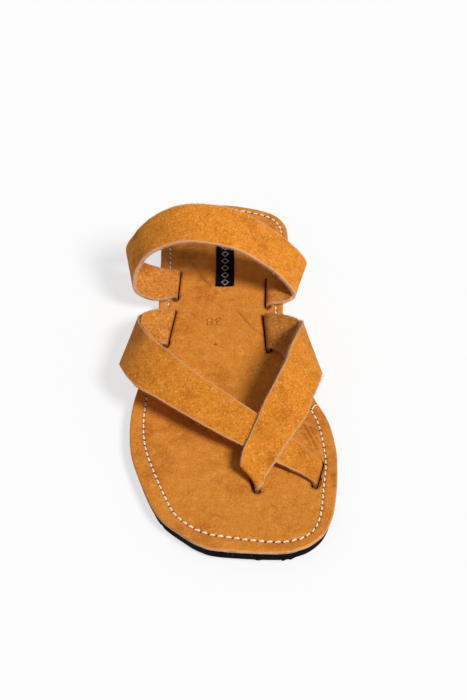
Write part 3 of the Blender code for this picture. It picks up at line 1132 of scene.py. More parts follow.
@dataclass(frozen=True)
class WovenTape:
    """Dense black woven tape with painted sheen on its raised threads, and a row of plain cream lozenges."""

    name: str = "black_woven_tape"
    ground: Colour = (0.0035, 0.0030, 0.0040, 1.0)
    # sheen: painted sheen on the weave's raised threads
    sheen: Colour = (0.010, 0.009, 0.012, 1.0)
    figure: Colour = (0.62, 0.55, 0.44, 1.0)
    picks: float = 90.0
    ends: float = 34.0
    lozenges: float = 6.0
    lozenge_size: float = 0.36
    depth: float = 0.00008
    shine: float = 0.05
    roughness: float = 0.85

    def build(self) -> bpy.types.Material:
        """Make the material.

        Returns:
            The material.
        """
        draft = MaterialDraft(self.name)
        tree = draft.tree
        spot = put(tree, "ShaderNodeUVMap", uv_map="tape")
        axes = put(tree, "ShaderNodeSeparateXYZ", {0: spot.outputs["UV"]}).outputs
        weft = calc(tree, "SINE", calc(tree, "MULTIPLY", axes["Y"], self.picks * math.tau))
        warp = calc(tree, "SINE", calc(tree, "MULTIPLY", axes["X"], self.ends * math.tau))
        weave = calc(tree, "MULTIPLY", weft, warp)
        # Painted sheen: the weave's raised threads are tinted lighter towards the sheen colour.
        ground = blend_colour(tree, spread(tree, weave, -0.6, 0.9), self.ground, self.sheen)
        step = calc(tree, "FRACT", calc(tree, "MULTIPLY", axes["Y"], self.lozenges))
        high = calc(tree, "ABSOLUTE", calc(tree, "SUBTRACT", step, 0.5))
        wide = calc(tree, "MULTIPLY", calc(tree, "ABSOLUTE", calc(tree, "SUBTRACT", axes["X"], 0.5)), 1.9)
        reach = calc(tree, "ADD", high, wide)
        ring = calc(tree, "ABSOLUTE", calc(tree, "SUBTRACT", reach, self.lozenge_size))
        line = spread(tree, ring, 0.075, 0.045)
        thread = calc(tree, "MULTIPLY", line, spread(tree, weft, -0.9, 0.2, 0.45, 1.0))
        colour = blend_colour(tree, thread, ground, self.figure)
        height = calc(tree, "ADD", weave, calc(tree, "MULTIPLY", thread, 1.5))
        draft.hold({"Specular IOR Level": self.shine})
        return draft.finish(colour, height, self.depth, self.roughness)


# Geometry Nodes


class PathArray:
    """A Geometry Nodes tree that sets one small shape at even steps along a path."""

    def __init__(self, name: str, sizes: dict[str, float]) -> None:
        """Open the tree.

        Args:
            name: the tree's name.
            sizes: named inputs with their values, all lengths, angles or shares.
        """
        self.tree = bpy.data.node_groups.new(name, "GeometryNodeTree")
        face = self.tree.interface
        face.new_socket("Geometry", in_out="INPUT", socket_type="NodeSocketGeometry")
        face.new_socket("Count", in_out="INPUT", socket_type="NodeSocketInt")
        face.new_socket("Seed", in_out="INPUT", socket_type="NodeSocketInt")
        face.new_socket("Material", in_out="INPUT", socket_type="NodeSocketMaterial")
        for key in sizes:
            face.new_socket(key, in_out="INPUT", socket_type="NodeSocketFloat")
        face.new_socket("Geometry", in_out="OUTPUT", socket_type="NodeSocketGeometry")
        self.sizes = sizes
        self.given = self.tree.nodes.new("NodeGroupInput").outputs

    def chance(self, low: Any, high: Any, shift: int) -> bpy.types.NodeSocket:
        """A random value for each copy.

        Args:
            low: the least value.
            high: the greatest value.
            shift: what the seed goes up by, so that each use draws its own values.

        Returns:
            The value's socket.
        """
        seed = calc(self.tree, "ADD", self.given["Seed"], float(shift))
        made = put(self.tree, "FunctionNodeRandomValue", {2: low, 3: high, "Seed": seed}, data_type="FLOAT")
        return made.outputs[1]

    def turn(self, x: Any, y: Any, z: Any) -> bpy.types.NodeSocket:
        """A rotation from three angles."""
        angles = put(self.tree, "ShaderNodeCombineXYZ", {0: x, 1: y, 2: z}).outputs[0]
        return put(self.tree, "FunctionNodeEulerToRotation", {0: angles}).outputs[0]

    def along_path(self) -> bpy.types.NodeSocket:
        """Lay a shape's X axis along the path, with its Z axis up.

        Returns:
            The rotation's socket.
        """
        tangent = put(self.tree, "GeometryNodeInputTangent").outputs[0]
        kind, axes = "FunctionNodeAlignRotationToVector", {"axis": "X", "pivot_axis": "Z"}
        return put(self.tree, kind, {"Vector": tangent}, **axes).outputs[0]

    def finish(self, shape: Any, rotation: Any, scale: Any, shift: Any = None) -> None:
        """Set the shape along the path and close the tree.

        Args:
            shape: the copied geometry.
            rotation: each copy's rotation.
            scale: each copy's scale.
            shift: how far each copy lies off the path, or nothing.
        """
        tree, given = self.tree, self.given
        path = {"Curve": given["Geometry"], "Count": given["Count"]}
        stepped = put(tree, "GeometryNodeResampleCurve", path)
        copies = put(
            tree,
            "GeometryNodeInstanceOnPoints",
            {"Points": stepped.outputs[0], "Instance": shape, "Rotation": rotation, "Scale": scale},
        ).outputs[0]
        if shift is not None:
            moved = {0: copies, "Translation": shift}
            copies = put(tree, "GeometryNodeTranslateInstances", moved).outputs[0]
        solid = put(tree, "GeometryNodeRealizeInstances", {0: copies}).outputs[0]
        material = {"Geometry": solid, "Material": given["Material"]}
        dressed = put(tree, "GeometryNodeSetMaterial", material).outputs[0]
        smooth = put(tree, "GeometryNodeSetShadeSmooth", {0: dressed}).outputs[0]
        tree.links.new(smooth, tree.nodes.new("NodeGroupOutput").inputs[0])

    def grow(
        self,
        name: str,
        paths: list[tuple[Points, bool]],
        count: int,
        material: bpy.types.Material,
        seed: int,
    ) -> bpy.types.Object:
        """Run the tree on paths and give back the plain mesh that it makes.

        Args:
            name: the new piece's name.
            paths: points of each path, and whether it is closed.
            count: how many copies each path has.
            material: what the copies are made of.
            seed: picks the random turns and sizes.

        Returns:
            The piece.
        """
        curve = bpy.data.curves.new(name + "_path", "CURVE")
        curve.dimensions = "3D"
        for points, closed in paths:
            spline = curve.splines.new("POLY")
            spline.points.add(len(points) - 1)
            spline.points.foreach_set("co", np.hstack([points, np.ones((len(points), 1))]).ravel())
            spline.use_cyclic_u = closed
        drawn = add_object(name + "_path", curve)
        modifier = drawn.modifiers.new("array", "NODES")
        modifier.node_group = self.tree
        values = {"Count": count, "Seed": seed, "Material": material, **self.sizes}
        for item in self.tree.interface.items_tree:
            if item.in_out == "INPUT" and item.name in values:
                modifier[item.identifier] = values[item.name]
        drawn.update_tag()
        bpy.context.view_layer.update()
        evaluated = drawn.evaluated_get(bpy.context.evaluated_depsgraph_get())
        mesh = bpy.data.meshes.new_from_object(evaluated)
        drawn.modifiers.clear()
        bpy.data.objects.remove(drawn, do_unlink=True)
        mesh.name = name
        return add_object(name, mesh)


def stitch_array(length: float, ply: float, dive: float) -> PathArray:
    """Tree for a row of stitches: two twisted plies that dive into the leather at both ends.

    Args:
        length: a stitch's length.
        ply: radius of each ply.
        dive: how far the ends lie below the middle.

    Returns:
        The tree.
    """
    sizes = {
        "Stitch Length": length,
        "Ply Radius": ply,
        "Twists": 1.1,
        "Dive": dive,
        "Slant": 0.2,
        "Sway": 0.07,
    }
    array = PathArray("stitch_row", sizes)
    tree, given = array.tree, array.given
    strand = put(
        tree,
        "GeometryNodeCurveSpiral",
        {
            "Resolution": 9,
            "Rotations": given["Twists"],
            "Start Radius": given["Ply Radius"],
            "End Radius": given["Ply Radius"],
            "Height": given["Stitch Length"],
        },
    ).outputs[0]
    round_ply = {"Resolution": 6, "Radius": given["Ply Radius"]}
    ring = put(tree, "GeometryNodeCurvePrimitiveCircle", round_ply, mode="RADIUS").outputs[0]
    tube = put(tree, "GeometryNodeCurveToMesh", {0: strand, 1: ring, "Fill Caps": True}).outputs[0]
    half = calc(tree, "MULTIPLY", given["Stitch Length"], -0.5)
    centred = put(tree, "ShaderNodeCombineXYZ", {0: 0.0, 1: 0.0, 2: half}).outputs[0]
    first = put(tree, "GeometryNodeTransform", {0: tube, "Translation": centred}).outputs[0]
    second = put(tree, "GeometryNodeTransform", {0: first, "Rotation": (0.0, 0.0, math.pi)}).outputs[0]
    both = put(tree, "GeometryNodeJoinGeometry")
    tree.links.new(first, both.inputs[0])
    tree.links.new(second, both.inputs[0])
    laid = {0: both.outputs[0], "Rotation": (0.0, math.pi / 2, 0.0)}
    lying = put(tree, "GeometryNodeTransform", laid).outputs[0]
    spot = put(tree, "GeometryNodeInputPosition").outputs[0]
    reach = put(tree, "ShaderNodeSeparateXYZ", {0: spot}).outputs[0]
    share = calc(tree, "ABSOLUTE", calc(tree, "DIVIDE", reach, half))
    bend, down = calc(tree, "POWER", share, 3.0), calc(tree, "MULTIPLY", given["Dive"], -1.0)
    drop = calc(tree, "MULTIPLY", bend, down)
    offset = put(tree, "ShaderNodeCombineXYZ", {0: 0.0, 1: 0.0, 2: drop}).outputs[0]
    bent = put(tree, "GeometryNodeSetPosition", {"Geometry": lying, "Offset": offset}).outputs[0]
    sway = array.chance(calc(tree, "MULTIPLY", given["Sway"], -1.0), given["Sway"], 1)
    sway = calc(tree, "ADD", sway, given["Slant"])
    rotation = put(
        tree,
        "FunctionNodeRotateRotation",
        {0: array.along_path(), 1: array.turn(0.0, 0.0, sway)},
        rotation_space="LOCAL",
    ).outputs[0]
    array.finish(bent, rotation, array.chance(0.93, 1.06, 2))
    return array


def hole_array(length: float, width: float, slant: float) -> PathArray:
    """Tree for a row of needle holes: slits, to be dark with painted shade, that lie slanted across the
    seam.

    Args:
        length: a hole's length.
        width: its width.
        slant: its angle to the seam.

    Returns:
        The tree.
    """
    array = PathArray("needle_hole_row", {"Hole Length": length, "Hole Width": width, "Slant": slant})
    tree, given = array.tree, array.given
    ball = put(tree, "GeometryNodeMeshUVSphere", {"Segments": 8, "Rings": 5, "Radius": 0.5}).outputs[0]
    axes = {0: given["Hole Length"], 1: given["Hole Width"], 2: given["Hole Width"]}
    size = put(tree, "ShaderNodeCombineXYZ", axes).outputs[0]
    slit = put(tree, "GeometryNodeTransform", {0: ball, "Scale": size}).outputs[0]
    slant_now = calc(tree, "ADD", given["Slant"], array.chance(-0.15, 0.15, 3))
    rotation = put(
        tree,
        "FunctionNodeRotateRotation",
        {0: array.along_path(), 1: array.turn(0.0, 0.0, slant_now)},
        rotation_space="LOCAL",
    ).outputs[0]
    array.finish(slit, rotation, array.chance(0.8, 1.15, 4))
    return array


def fibre_array(length: float, radius: float, scatter: float) -> PathArray:
    """Tree for frayed fibres along a cut edge.

    Args:
        length: a fibre's length.
        radius: its radius at the root.
        scatter: how far the roots stray from the edge.

    Returns:
        The tree.
    """
    array = PathArray("frayed_fibres", {"Fibre Length": length, "Fibre Radius": radius, "Scatter": scatter})
    tree, given = array.tree, array.given
    spike = put(
        tree,
        "GeometryNodeMeshCone",
        {
            "Vertices": 3,
            "Side Segments": 1,
            "Fill Segments": 1,
            "Radius Top": 0.0,
            "Radius Bottom": given["Fibre Radius"],
            "Depth": given["Fibre Length"],
        },
    ).outputs[0]
    rotation = array.turn(
        array.chance(-math.pi, math.pi, 5), array.chance(-1.2, 1.2, 6), array.chance(0.0, 6.2, 7)
    )
    away = calc(tree, "MULTIPLY", given["Scatter"], -1.0)
    shift = put(
        tree,
        "ShaderNodeCombineXYZ",
        {axis: array.chance(away, given["Scatter"], 8 + axis) for axis in range(3)},
    ).outputs[0]
    array.finish(spike, rotation, array.chance(0.4, 1.4, 12), shift)
    return array


# Pieces


def dress(piece: bpy.types.Object, slot: str, *nodes: str) -> None:
    """Let a piece ride on the body, and let it stand for CAD nodes.

    Args:
        piece: the finished piece.
        slot: the name of its material's slot; not used.
        nodes: the CAD nodes that it takes the place of.
    """
    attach(piece, ROOT)
    if nodes:
        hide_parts(*nodes)
    log.info("%s: %d faces", piece.name, len(piece.data.polygons))


@dataclass
class StrapShape:
    """Folds of one strap, the sizes that they follow, its cut edge and how long its fray is."""

    name: str
    folds: tuple[Fold, ...]
    wrinkles: tuple[Wrinkle, ...]
    rise: float
    width: float
    edge: RawEdge
    fray: float

    def fold_ends(self, plan: SolePlan, fold: Fold) -> tuple[Points, Points]:
        """Work out where a fold lies.

        Args:
            plan: the sole that the strap stands on.
            fold: the fold.

        Returns:
            Its heel end and its toe end.
        """
        x, y = plan.place(fold.along, fold.across)
        height = fold.height * self.rise + fold.stack * STRAP_THICKNESS
        middle = np.array([x, y, FOOTBED_TOP + float(plan.rise(y)) + height])
        reach = np.array([fold.lean, -fold.run, -fold.dip]) * self.width / 2
        return middle - reach, middle + reach

    def rows(self, plan: SolePlan, steps: int) -> Points:
        """Rows of heel end and toe end along the strap, upright through both slots and smooth between them.

        Args:
            plan: the sole that the strap stands on.
            steps: rows from each fold to the next.

        Returns:
            An array with six columns: heel end, then toe end.
        """
        rows = np.array([np.concatenate(self.fold_ends(plan, fold)) for fold in self.folds])
        before, after = self.upright_from(rows[0], rows[1]), self.upright_from(rows[-1], rows[-2])
        curve = smooth_through(np.vstack([before, rows, after]), steps)
        down = np.array([0, 0, FOOTBED_THICKNESS] * 2)
        feet = [np.linspace(end - down, end, 4)[:3] for end in (curve[0], curve[-1])]
        return np.vstack([feet[0], curve, feet[1][::-1]])

    @staticmethod
    def upright_from(end: Points, following: Points) -> Points:
        """Point before the curve's end that makes it leave that end straight upwards.

        Args:
            end: the curve's end row.
            following: the row after it.

        Returns:
            The row to put before the end.
        """
        beyond = following.copy()
        for height in (2, 5):
            place = slice(height - 2, height + 1)
            beyond[height] -= 2 * np.linalg.norm(following[place] - end[place])
        return beyond

    def slots(self, plan: SolePlan, widen: float = 0.0) -> list[Points]:
        """Outline the two slots that the strap's feet stand in.

        Args:
            plan: the sole that the strap stands on.
            widen: how much wider than the CAD node's slots they are, on each side.

        Returns:
            The two rings, clockwise.
        """
        outlines = []
        for fold in (self.folds[0], self.folds[-1]):
            start, end = (place[:2] for place in self.fold_ends(plan, fold))
            radius = STRAP_THICKNESS / 2 + SLOT_CLEARANCE + widen
            angle = math.degrees(math.atan2(*(end - start)[::-1]))
            round_end = arc_points(tuple(end), radius, angle + 90, -180, 0.0002)
            round_start = arc_points(tuple(start), radius, angle - 90, -180, 0.0002)
            ring = np.vstack([round_end, round_start])
            outlines.append(resample_ring(ring, int(ring_length(ring) / 0.0007)))
        return outlines


@dataclass
class Strap:
    """One leather strap: a wall with a napped face, a rough flesh side and two cut edges."""

    shape: StrapShape
    plan: SolePlan
    columns: int = 18
    steps: int = 14
    face_round: float = 0.0006
    flesh_round: float = 0.0002
    edge_points: int = 4
    edge_waves: float = 0.00022
    edge_wave_size: float = 0.004
    edge_nick_size: float = 0.0013
    ripple: float = 0.00016
    ripple_size: float = 0.011
    stiff_run: float = 0.008
    rim_width: float = 0.0011
    rim_paleness: float = 0.35
    foot_rows: int = 9
    foot_shade: float = 0.60
    foot_shade_height: float = 0.0014

    def middle_surface(self) -> tuple[Points, Points]:
        """Work out the wall's middle.

        Returns:
            Its places and its normals, as grids of rows and columns.
        """
        rows = self.shape.rows(self.plan, self.steps)
        shares = np.linspace(0, 1, self.columns + 1)[None, :, None]
        grid = rows[:, None, :3] * (1 - shares) + rows[:, None, 3:] * shares
        along = np.gradient(grid, axis=0)
        across = np.gradient(grid, axis=1)
        normal = np.cross(along, across)
        normal /= np.linalg.norm(normal, axis=2)[:, :, None]
        middle = len(rows) // 2
        if normal[middle, self.columns // 2, 2] < 0:
            normal = -normal
        return grid, normal

    def wrinkle_depth(self, grid: Points) -> Points:
        """How far wrinkles and the leather's own waves lower the wall.

        Args:
            grid: places of the middle surface.

        Returns:
            One depth for each place.
        """
        middle = grid[:, self.columns // 2]
        run = run_lengths(middle)
        across = np.linspace(-0.5, 0.5, self.columns + 1)[None, :]
        depth = np.zeros(grid.shape[:2])
        for wrinkle in self.shape.wrinkles:
            away = run[:, None] - run[-1] * (wrinkle.run + wrinkle.slant * across * 2)
            strength = 1 - 0.7 * np.abs(across * 2) ** 2
            depth += wrinkle.depth * strength * np.exp(-((away / wrinkle.width) ** 2))
        sway = waves(grid.reshape(-1, 3), self.ripple_size, 3.0).reshape(depth.shape)
        free = np.clip(np.minimum(run, run[-1] - run) / self.stiff_run - 0.4, 0, 1)[:, None]
        return (depth + self.ripple * sway) * free

    def section(self, places: Points, normals: Points) -> Points:
        """Ring of points round the wall at one row, the napped face first.

        Args:
            places: the row's places on the middle surface, heel end first.
            normals: the surface's normals there.

        Returns:
            The ring, with as many points on the flesh side as on the face.
        """
        half = STRAP_THICKNESS / 2
        face, flesh = places + normals * half, places - normals * half
        turns = []
        for end, inner in ((-1, -2), (0, 1)):
            outwards = places[end] - places[inner]
            outwards /= np.linalg.norm(outwards)
            normal = normals[end]
            face[end] -= outwards * self.face_round
            flesh[end] -= outwards * self.flesh_round
            turn = []
            for sign, radius in ((1, self.face_round), (-1, self.flesh_round)):
                centre = places[end] - outwards * radius + normal * sign * (half - radius)
                angles = np.linspace(0, math.pi / 2, self.edge_points + 1)[1:]
                arc = [
                    centre + radius * (outwards * math.sin(a) + normal * sign * math.cos(a)) for a in angles
                ]
                turn += arc if sign > 0 else arc[::-1]
            turns.append(np.array(turn))
        return np.vstack([face, turns[0], flesh[::-1], turns[1][::-1]])

    def build(self, materials: list[bpy.types.Material]) -> bpy.types.Object:
        """Make the strap.

        Args:
            materials: of its face, its edge and its flesh side.

        Returns:
            The strap.
        """
        grid, normal = self.middle_surface()
        grid = grid - normal * self.wrinkle_depth(grid)[:, :, None]
        for column, side in ((0, 1), (-1, -2)):
            outwards = grid[:, column] - grid[:, side]
            outwards /= np.linalg.norm(outwards, axis=1)[:, None]
            sway = waves(grid[:, column], self.edge_wave_size, 6.0)
            sway = sway + 0.5 * waves(grid[:, column], self.edge_nick_size, 8.0)
            grid[:, column] += outwards * sway[:, None] * self.edge_waves
        draft = Draft()
        rings = [self.section(places, normals) for places, normals in zip(grid, normal)]
        size = len(rings[0])
        index = draft.add_points(np.vstack(rings)).reshape(len(rings), size)
        edge = [Skin.FACE] * self.edge_points + [Skin.EDGE] * (self.edge_points + 1)
        around = [Skin.FACE] * self.columns + edge + [Skin.FLESH] * self.columns + edge[::-1]
        for row, (one, other) in enumerate(zip(index, index[1:])):
            in_foot = min(row, len(index) - 2 - row) < self.foot_rows
            for start, slot in enumerate(around):
                after = (start + 1) % size
                face = (one[start], one[after], other[after], other[start])
                draft.add_faces([face], Skin.FLESH if in_foot and slot is Skin.EDGE else slot)
        for ring in (index[0], index[-1]):
            draft.add_faces([tuple(ring)], Skin.EDGE)
        strap = draft.build(self.shape.name, materials, 60.0)
        self.mark(strap, len(rings), size)
        return strap

    def mark(self, strap: bpy.types.Object, rows: int, size: int) -> None:
        """Store where the rim is worn pale, and the painted shade that darkens the feet near the footbed.

        Args:
            strap: the strap's object.
            rows: how many rings of points it has.
            size: how many points each ring has.
        """
        columns = np.linspace(0, self.shape.width, self.columns + 1)
        from_rim = np.minimum(columns, columns[::-1])
        face = np.clip(1 - from_rim / self.rim_width, 0, 1) * self.rim_paleness
        edge = np.ones(2 * self.edge_points)
        ring = np.concatenate([face, edge, face, edge])[:size]
        places = np.array([vert.co for vert in strap.data.vertices])
        above = places[:, 2] - FOOTBED_TOP - self.plan.rise(places[:, 1])
        add_values(strap, "rim", np.tile(ring, rows) * np.clip((above - 0.001) / 0.0025, 0, 1))
        # Painted shade: the strap darkens as it nears the footbed and enters its slots.
        shade = np.clip(1 - above / self.foot_shade_height, 0, 1) * self.foot_shade
        add_values(strap, "painted_shade_and_marks", shade)

    def edge_lines(self) -> list[tuple[Points, bool]]:
        """Follow the strap's four long edges.

        Returns:
            Each edge's points, and that it is an open path.
        """
        grid, normal = self.middle_surface()
        inner = slice(self.steps // 2, len(grid) - self.steps // 2)
        half = STRAP_THICKNESS / 2
        return [
            (grid[inner, column] + normal[inner, column] * half * sign, False)
            for column in (0, -1)
            for sign in (1, -1)
        ]


@dataclass
class Fray:
    """Fibres that stand out of a strap's cut edges."""

    strap: Strap
    seed: int
    slenderness: float = 0.08
    scatter: float = 0.0003
    count: int = 420

    def build(self, material: bpy.types.Material) -> None:
        """Make the fibres.

        Args:
            material: the fibres' material.
        """
        shape = self.strap.shape
        array = fibre_array(shape.fray, self.slenderness * shape.fray, self.scatter)
        edges = self.strap.edge_lines()
        dress(array.grow(shape.name + "_fray", edges, self.count, material, self.seed), "strap_leather")


@dataclass
class Seam:
    """The seam through footbed and outsole, a little inside the edge all round.

    Lift and sink are shares of a ply's radius. The two reaches smooth the seam's distance and its line.
    """

    plan: SolePlan
    pitch: float = 0.00375
    stitch_length: float = 0.0026
    stitch_dive: float = 0.00055
    stitch_lift: float = 1.1
    ply_radius: float = 0.00025
    groove_depth: float = 0.00038
    groove_width: float = 0.0008
    hole_length: float = 0.0014
    hole_width: float = 0.00095
    hole_slant: float = 38.0
    hole_sink: float = 1.5
    pit_depth: float = 0.0005
    pit_radius: float = 0.0006
    samples: int = 1200
    distance_reach: int = 12
    line_reach: int = 5
    line: Points = field(init=False)
    count: int = field(init=False)

    def __post_init__(self) -> None:
        """Work out the line and how many stitches it has."""
        edge = resample_ring(self.plan.edge, EDGE_SAMPLES)
        along = self.plan.along_at(edge[:, 1])
        rows = np.array(SEAM_ROWS)
        medial = np.interp(along, rows[:, 0], rows[:, 2])
        lateral = np.interp(along, rows[:, 0], rows[:, 1])
        toe = int(np.argmin(edge[:, 1]))
        distance = np.where(np.arange(len(edge)) <= toe, medial, lateral)
        line = inset_ring(edge, smooth_ring(distance, self.distance_reach))
        self.line = resample_ring(smooth_ring(line, self.line_reach), self.samples)
        self.count = int(round(ring_length(self.line) / self.pitch))

    def holes(self) -> Points:
        """Places of the needle holes, half-way between stitches."""
        return resample_ring(self.line, 2 * self.count)[1::2]

    def relief(self, points: Points) -> Points:
        """How deep the thread has pulled the leather down.

        Args:
            points: places in the plane.

        Returns:
            One depth for each point.
        """
        groove = self.groove_depth * nearness(points, self.line, self.groove_width)
        pits = self.pit_depth * nearness(points, self.holes(), self.pit_radius)
        return groove + pits

    def build(self, surface: "Footbed", thread: bpy.types.Material, dark: bpy.types.Material) -> None:
        """Sew the stitches and prick the holes.

        Args:
            surface: the footbed that they follow.
            thread: the stitches' material.
            dark: the holes' material, flat painted shade.
        """
        centres = surface.on_top(self.line)
        centres[:, 2] += self.ply_radius * self.stitch_lift
        array = stitch_array(self.stitch_length, self.ply_radius, self.stitch_dive)
        stitches = array.grow("seam_stitches", [(centres, True)], self.count, thread, STITCH_SEED)
        dress(stitches, "woven_tape")
        between = np.roll(resample_ring(centres, 2 * self.count), -1, axis=0)
        between[:, 2] -= self.ply_radius * self.hole_sink
        slits = hole_array(self.hole_length, self.hole_width, math.radians(self.hole_slant))
        holes = slits.grow("seam_needle_holes", [(between, True)], self.count, dark, HOLE_SEED)
        dress(holes, "footbed_leather")


@dataclass
class SizeDigits:
    """A plain size number pressed in the footbed, read from the heel.

    The two bowls are the radii of a digit's upper and lower half, as shares of its height.
    """

    plan: SolePlan
    along: float = 0.385
    across: float = -0.20
    height: float = 0.0056
    width: float = 0.0034
    gap: float = 0.0014
    upper_bowl: float = 0.235
    lower_bowl: float = 0.265
    stroke: float = 0.00032
    depth: float = 0.00042
    spacing: float = 0.00012
    margin: float = 0.001

    def strokes(self) -> Points:
        """Follow the digits' strokes.

        Returns:
            Points close together, in the plane.
        """
        small, large = self.height * self.upper_bowl, self.height * self.lower_bowl
        upper, lower = self.height - small, large
        three = [
            arc_points((0, upper), small, 150, -240, self.spacing),
            arc_points((0, lower), large, 90, -250, self.spacing),
        ]
        eight = [
            arc_points((0, upper), small, 0, 360, self.spacing),
            arc_points((0, lower), large, 0, 360, self.spacing),
        ]
        step = (self.width + self.gap) / 2
        reading = [np.vstack(three) - [step, 0], np.vstack(eight) + [step, 0]]
        middle = self.plan.place(self.along, self.across)
        return middle - (np.vstack(reading) - [0, self.height / 2])

    def patch(self) -> tuple[Points, Points]:
        """Low and high corner of the rectangle that holds the digits."""
        strokes = self.strokes()
        return strokes.min(axis=0) - self.margin, strokes.max(axis=0) + self.margin

    def relief(self, points: Points) -> Points:
        """How deep the digits are pressed at each point."""
        return self.depth * nearness(points, self.strokes(), self.stroke)


@dataclass
class Footbed:
    """Leather footbed with six slots, a softened rim, a pulled-in seam and pressed digits.

    Mark offsets are shares of a mark's width, and wall shares say how far down the cut edge its rows lie.
    The digit tone is how dark digits are, and the slot and pit values are how much painted shade darkens the
    ground round the slots and the seam's pits.
    """

    plan: SolePlan
    seam: Seam
    digits: SizeDigits
    slots: list[Points]
    rim_round: float = 0.0008
    rim_points: int = 4
    edge_spacing: float = 0.0009
    grid_spacing: float = 0.0015
    seam_spacing: float = 0.00055
    digit_spacing: float = 0.00026
    mark_spacing: float = 0.0005
    under_spacing: float = 0.006
    least_spacing: float = 0.00012
    seam_offsets: tuple[float, ...] = (-0.0013, -0.0008, -0.0004, 0.0, 0.0004, 0.0008, 0.0013)
    mark_offsets: tuple[float, ...] = (-1.7, -0.8, 0.0, 0.8, 1.7)
    wall_shares: tuple[float, ...] = (0.35, 0.7, 1.0)
    slot_dent: float = 0.00025
    slot_reach: float = 0.0016
    sway: float = 0.00022
    rough_cut: float = 0.00010
    rim_width: float = 0.0012
    rim_paleness: float = 0.35
    shade_reach: float = 0.0007
    digit_tone: float = 0.6
    slot_shade: float = 0.75
    pit_shade: float = 0.6

    def relief(self, points: Points) -> Points:
        """Height of the napped face above its plain plane.

        Args:
            points: places in the plane.

        Returns:
            One height for each point.
        """
        height = self.sway * waves(points, 0.030, 7.0) + 0.3 * self.sway * waves(points, 0.009, 2.0)
        height -= self.seam.relief(points)
        height -= self.digits.relief(points)
        for slot in self.slots:
            height -= self.slot_dent * np.exp(-distance_to(points, slot) / self.slot_reach)
        for mark in MARKS + SLOT_NICKS:
            line = mark_line(self.plan, mark, mark.width / 2)
            height -= mark.depth * nearness(points, line, mark.width)
        return height

    def on_top(self, points: Points) -> Points:
        """Points in the plane lifted to the napped face."""
        height = FOOTBED_TOP + self.plan.rise(points[:, 1]) + self.relief(points)
        return raised(points, height)

    def inner_points(self, outer: Points) -> Points:
        """Points for the face's triangles, close together at seam, marks and digits.

        Args:
            outer: the face's own edge.

        Returns:
            The points, none of them on the edge or a slot.
        """
        rows = []
        for offset in self.seam_offsets:
            ring = inset_ring(self.seam.line, offset)
            rows.append(resample_ring(ring, int(ring_length(ring) / self.seam_spacing)))
        low, high = self.digits.patch()
        patch = staggered_grid(low, high, self.digit_spacing)
        grid = staggered_grid(outer.min(axis=0), outer.max(axis=0), self.grid_spacing)
        outside = ((grid < low - 0.0003) | (grid > high + 0.0003)).any(axis=1)
        far = distance_to(grid, self.seam.line) > max(self.seam_offsets) + 0.0007
        grid = grid[outside & far & inside_ring(grid, outer)]
        grid = grid[distance_to(grid, outer) > 0.0009]
        fine = []
        for mark in MARKS + SLOT_NICKS:
            line = mark_line(self.plan, mark, self.mark_spacing)
            ahead = np.gradient(line, axis=0)
            ahead /= np.linalg.norm(ahead, axis=1)[:, None]
            side = np.stack([-ahead[:, 1], ahead[:, 0]], axis=1)
            fine += [line + side * mark.width * offset for offset in self.mark_offsets]
        marks = np.vstack(fine)
        grid = grid[distance_to(grid, marks) > 0.0007]
        marks = marks[distance_to(marks, self.seam.line) > max(self.seam_offsets) + 0.0004]
        points = np.vstack([*rows, patch, grid, marks])
        for slot in self.slots:
            points = points[~inside_ring(points, slot)]
            points = points[distance_to(points, slot) > 0.0004]
        return self.thin_out(points, self.least_spacing)

    @staticmethod
    def thin_out(points: Points, least: float) -> Points:
        """Leave out points that lie too near an earlier one.

        Args:
            points: places in the plane.
            least: how near is too near.

        Returns:
            The points that stay, in their order.
        """
        keys = np.round(points / least).astype(int)
        _, first = np.unique(keys, axis=0, return_index=True)
        return points[np.sort(first)]

    def build(self, materials: list[bpy.types.Material]) -> bpy.types.Object:
        """Make the footbed.

        Args:
            materials: of its face, its cut edge, its flesh side and the inside of its slots, which is flat
                painted shade.

        Returns:
            The footbed.
        """
        edge = resample_ring(self.plan.edge, int(ring_length(self.plan.edge) / self.edge_spacing))
        draft = Draft()
        outer = inset_ring(edge, self.rim_round)
        flat, triangles = fill_between(outer, self.slots, self.inner_points(outer))
        top = draft.add_points(self.on_top(flat))
        draft.add_faces(top[triangles], Skin.FACE)
        rings = [top[: len(outer)]]
        cut = waves(raised(edge, np.zeros(len(edge))), 0.0012, 5.0) * self.rough_cut
        high = FOOTBED_TOP + self.plan.rise(edge[:, 1]) + self.relief(outer)
        low = FOOTBED_UNDERSIDE + self.plan.rise(edge[:, 1])
        for turn in np.linspace(0, math.pi / 2, self.rim_points + 1)[1:]:
            place = inset_ring(edge, self.rim_round * (1 - math.sin(turn)) + cut)
            height = high - self.rim_round * (1 - math.cos(turn))
            rings.append(draft.add_points(raised(place, height)))
        for share in self.wall_shares:
            fray = waves(raised(edge, np.full(len(edge), share)), 0.0009, 9.0) * self.rough_cut
            place = inset_ring(edge, fray + 0.0001 * share)
            height = high - self.rim_round + (low - high + self.rim_round) * share
            rings.append(draft.add_points(raised(place, height)))
        for step, (one, other) in enumerate(zip(rings, rings[1:])):
            draft.bridge(one, other, Skin.FACE if step < self.rim_points - 1 else Skin.EDGE)
        inner = staggered_grid(edge.min(axis=0), edge.max(axis=0), self.under_spacing)
        inner = inner[inside_ring(inner, edge) & (distance_to(inner, edge) > 0.003)]
        for slot in self.slots:
            inner = inner[~inside_ring(inner, slot) & (distance_to(inner, slot) > 0.001)]
        lowest = np.vstack(draft.points)[rings[-1]][:, :2]
        under, faces = fill_between(lowest, self.slots, inner)
        under = under[len(lowest):]
        bottom = draft.add_points(raised(under, FOOTBED_UNDERSIDE + self.plan.rise(under[:, 1])))
        bottom = np.concatenate([rings[-1], bottom])
        draft.add_faces(bottom[faces], Skin.FLESH)
